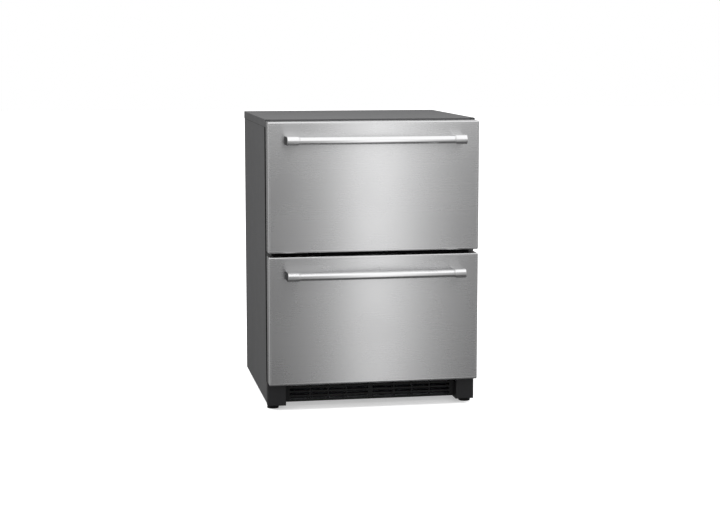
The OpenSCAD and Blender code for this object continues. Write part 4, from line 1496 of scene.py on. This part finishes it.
@dataclass
class Studio(SubAssembly):
    """Camera, lamps, white surround, floor and the boards that metal mirrors."""
    camera_place: Triple = (-0.8326, -4.6679, 1.0463)
    camera_turn: Triple = (82.2, 0.0, -10.2)
    lens: float = 79.5
    ambient: float = 0.55
    lamps: tuple[SoftLight, ...] = (
        SoftLight("overhead_softbox", (-0.2, -0.7, 2.6), (0.0, 0.0, 0.4), (2.4, 1.8), 36.0),
        SoftLight("left_softbox", (-2.9, -1.6, 1.5), (0.0, 0.0, 0.45), (1.6, 1.8), 26.0),
        SoftLight("front_softbox", (0.6, -4.2, 1.9), (0.0, 0.0, 0.4), (2.2, 2.0), 60.0),
    )
    floor: Sheet = Sheet("floor", (-20, -20, 0), (20, 20, 0), shown=Shown.ALL_BUT_MIRRORS)
    reflector: Sheet = Sheet("reflector", (-2.2, -1.2755, -0.55), (2.2, -1.2755, 1.06), 1.45)
    boards: tuple[Sheet, ...] = (
        Sheet("rear_flag", (-2.6, 2.2, -0.7), (2.6, 2.2, 1.7), 0.20),
        Sheet("side_flag", (-2.2, -1.2755, -0.7), (-2.2, 2.2, 1.7), 0.50),
        Sheet("side_flag", (2.2, -1.2755, -0.7), (2.2, 2.2, 1.7), 0.50),
        Sheet("sky_panel", (-1.6, -3.0, 2.4), (1.6, 0.4, 2.4), 1.12),
        Sheet("floor_flag", (-4, -4, -0.7), (4, 4, -0.7), 0.10),
    )
    # Places along X and the reflector's brightness there.
    glow: Profile = (
        (-2.2, 0.30), (-0.75, 0.30), (-0.35, 0.20), (-0.163, 0.195), (-0.092, 0.245),
        (0.015, 0.39), (0.085, 0.58), (0.145, 0.79), (0.192, 0.89), (0.24, 0.83),
        (0.29, 0.69), (0.334, 0.56), (0.406, 0.42), (0.477, 0.30), (0.548, 0.23),
        (0.75, 0.21), (1.15, 0.30), (2.2, 0.30))
    # The cabinet's half width and half depth, from which the floor's painted glow rises and
    # hides its shadow.
    footprint: tuple[float, float] = (0.27, 0.225)

    def camera(self) -> None:
        """The camera at the photograph's angle."""
        data = bpy.data.cameras.new("product_camera")
        data.lens = self.lens
        data.sensor_width = 36.0
        holder = placed("product_camera", data)
        holder.location = self.camera_place
        holder.rotation_euler = [math.radians(a) for a in self.camera_turn]
        bpy.context.scene.camera = holder

    def surround(self) -> None:
        """A white surround that lights the object at a lower level than it shows."""
        bpy.context.scene.world = world = bpy.data.worlds.new("white_surround")
        graph = Graph(world)
        rays = graph.node("LightPath").outputs
        seen = graph.maths("MAXIMUM", rays["Is Camera Ray"], rays["Is Glossy Ray"])
        seen = graph.maths("MAXIMUM", seen, rays["Is Transmission Ray"])
        graph.feed(graph.tree.nodes["Background"], {
            "Color": WHITE, "Strength": graph.span(seen, self.ambient, 1.0, 0.0, 1.0)})

    def reflector_material(self) -> bpy.types.Material:
        """The reflector's surface: bright in its middle, softer to its sides and its foot.

        Returns:
            The material.
        """
        graph = Graph(bpy.data.materials.new("reflector_glow"))
        axes = graph.node("SeparateXYZ", {"Vector": graph.place}).outputs
        left, right = self.reflector.low[0], self.reflector.high[0]
        ramp = graph.node("ValToRGB", {"Fac": graph.span(axes["X"], 0.0, 1.0, left, right)})
        stops = ramp.color_ramp.elements
        stops.remove(stops[-1])
        for i, (x, value) in enumerate(self.glow):
            share = (x - left) / (right - left)
            stop = stops[0] if i == 0 else stops.new(share)
            stop.position = share
            stop.color = (value, value, value, 1.0)
        fall = graph.maths("ADD", graph.maths("MULTIPLY", axes["Z"], 0.36), 0.73)
        body = graph.tint(1.0, ramp.outputs["Color"], fall, "MULTIPLY")
        top = graph.span(axes["Z"], 0.0, 1.0, 0.86, 1.02, "SMOOTHSTEP")
        even = (1.0 / self.reflector.level,) * 3
        return self.reflector.glowing(graph, graph.tint(top, body, even))

    def floor_material(self) -> bpy.types.Material:
        """A pale floor with a painted glow for camera rays, weak over the cabinet's footprint
        and strong a few cm outside it, so it shows as white there even in shadow.

        Returns:
            The material.
        """
        graph = Graph(bpy.data.materials.new("pale_floor"))
        away = graph.place
        for step, against in (("ABSOLUTE", (0, 0, 0)), ("SUBTRACT", (*self.footprint, 0)),
                              ("MAXIMUM", (0, 0, 0))):
            away = graph.node("VectorMath", {0: away, 1: against}, operation=step).outputs[0]
        away = graph.node("VectorMath", {0: away}, operation="LENGTH").outputs["Value"]
        mottle = graph.span(graph.noise((3.0,) * 3))
        graph.dress({"Base Color": graph.tint(mottle, (0.79,) * 3, (0.81,) * 3),
                     "Roughness": 0.9, "Specular IOR Level": 0.1})
        rays = graph.node("LightPath").outputs
        seen = graph.maths("MAXIMUM", rays["Is Camera Ray"], rays["Is Transmission Ray"])
        # Painted light: a glow that rises away from the footprint and keeps only a contact
        # shadow.
        painted_glow = graph.maths("ADD", graph.span(away, 0.40, 0.86, 0.0, 0.035, "SMOOTHSTEP"),
                           graph.span(away, 0.0, 0.2, 0.08, 1.2, "SMOOTHSTEP"))
        light = graph.node("Emission", {"Color": WHITE,
                                        "Strength": graph.maths("MULTIPLY", seen, painted_glow)})
        paint = graph.tree.nodes["Principled BSDF"].outputs[0]
        graph.surface(graph.node("AddShader", {0: paint, 1: light.outputs[0]}).outputs[0])
        return graph.owner

    def build(self) -> None:
        """Sets up the whole studio."""
        bpy.context.scene.view_settings.view_transform = "Standard"
        self.camera()
        self.surround()
        for lamp in self.lamps:
            lamp.build()
        self.floor.build(self.floor_material())
        self.reflector.build(self.reflector_material())
        for board in self.boards:
            board.build()


def main() -> None:
    """Builds the studio and every sub-assembly."""
    logging.basicConfig(level=logging.INFO, format="%(name)s: %(message)s")
    parts: list[SubAssembly] = [Studio(), Cabinet()]
    for level in Level:
        parts += [DrawerFront(level), Handle(level)]
    parts += [DrawerBin(Level.UPPER), DrawerBin(Level.LOWER, (0.0695, 0.309))]
    parts += [LevellingFoot(f"{end}_{side}") for end in ("front", "rear")
              for side in ("left", "right")]
    parts += [
        FanWheel("evaporator_fan", GREY_PLASTIC, (0.0, 0.730), 38, 13, 15, 2.56),
        FanWheel("condenser_fan", FINE_BLACK_PLASTIC, (0.155, 0.1145), 74, 22, 22, 3.06),
        ThermostatKnob(), RefrigerantLines(), Fasteners(),
    ]
    for part in parts:
        LOG.info("building %s", type(part).__name__)
        part.build()


if __name__ == "__main__":
    main()
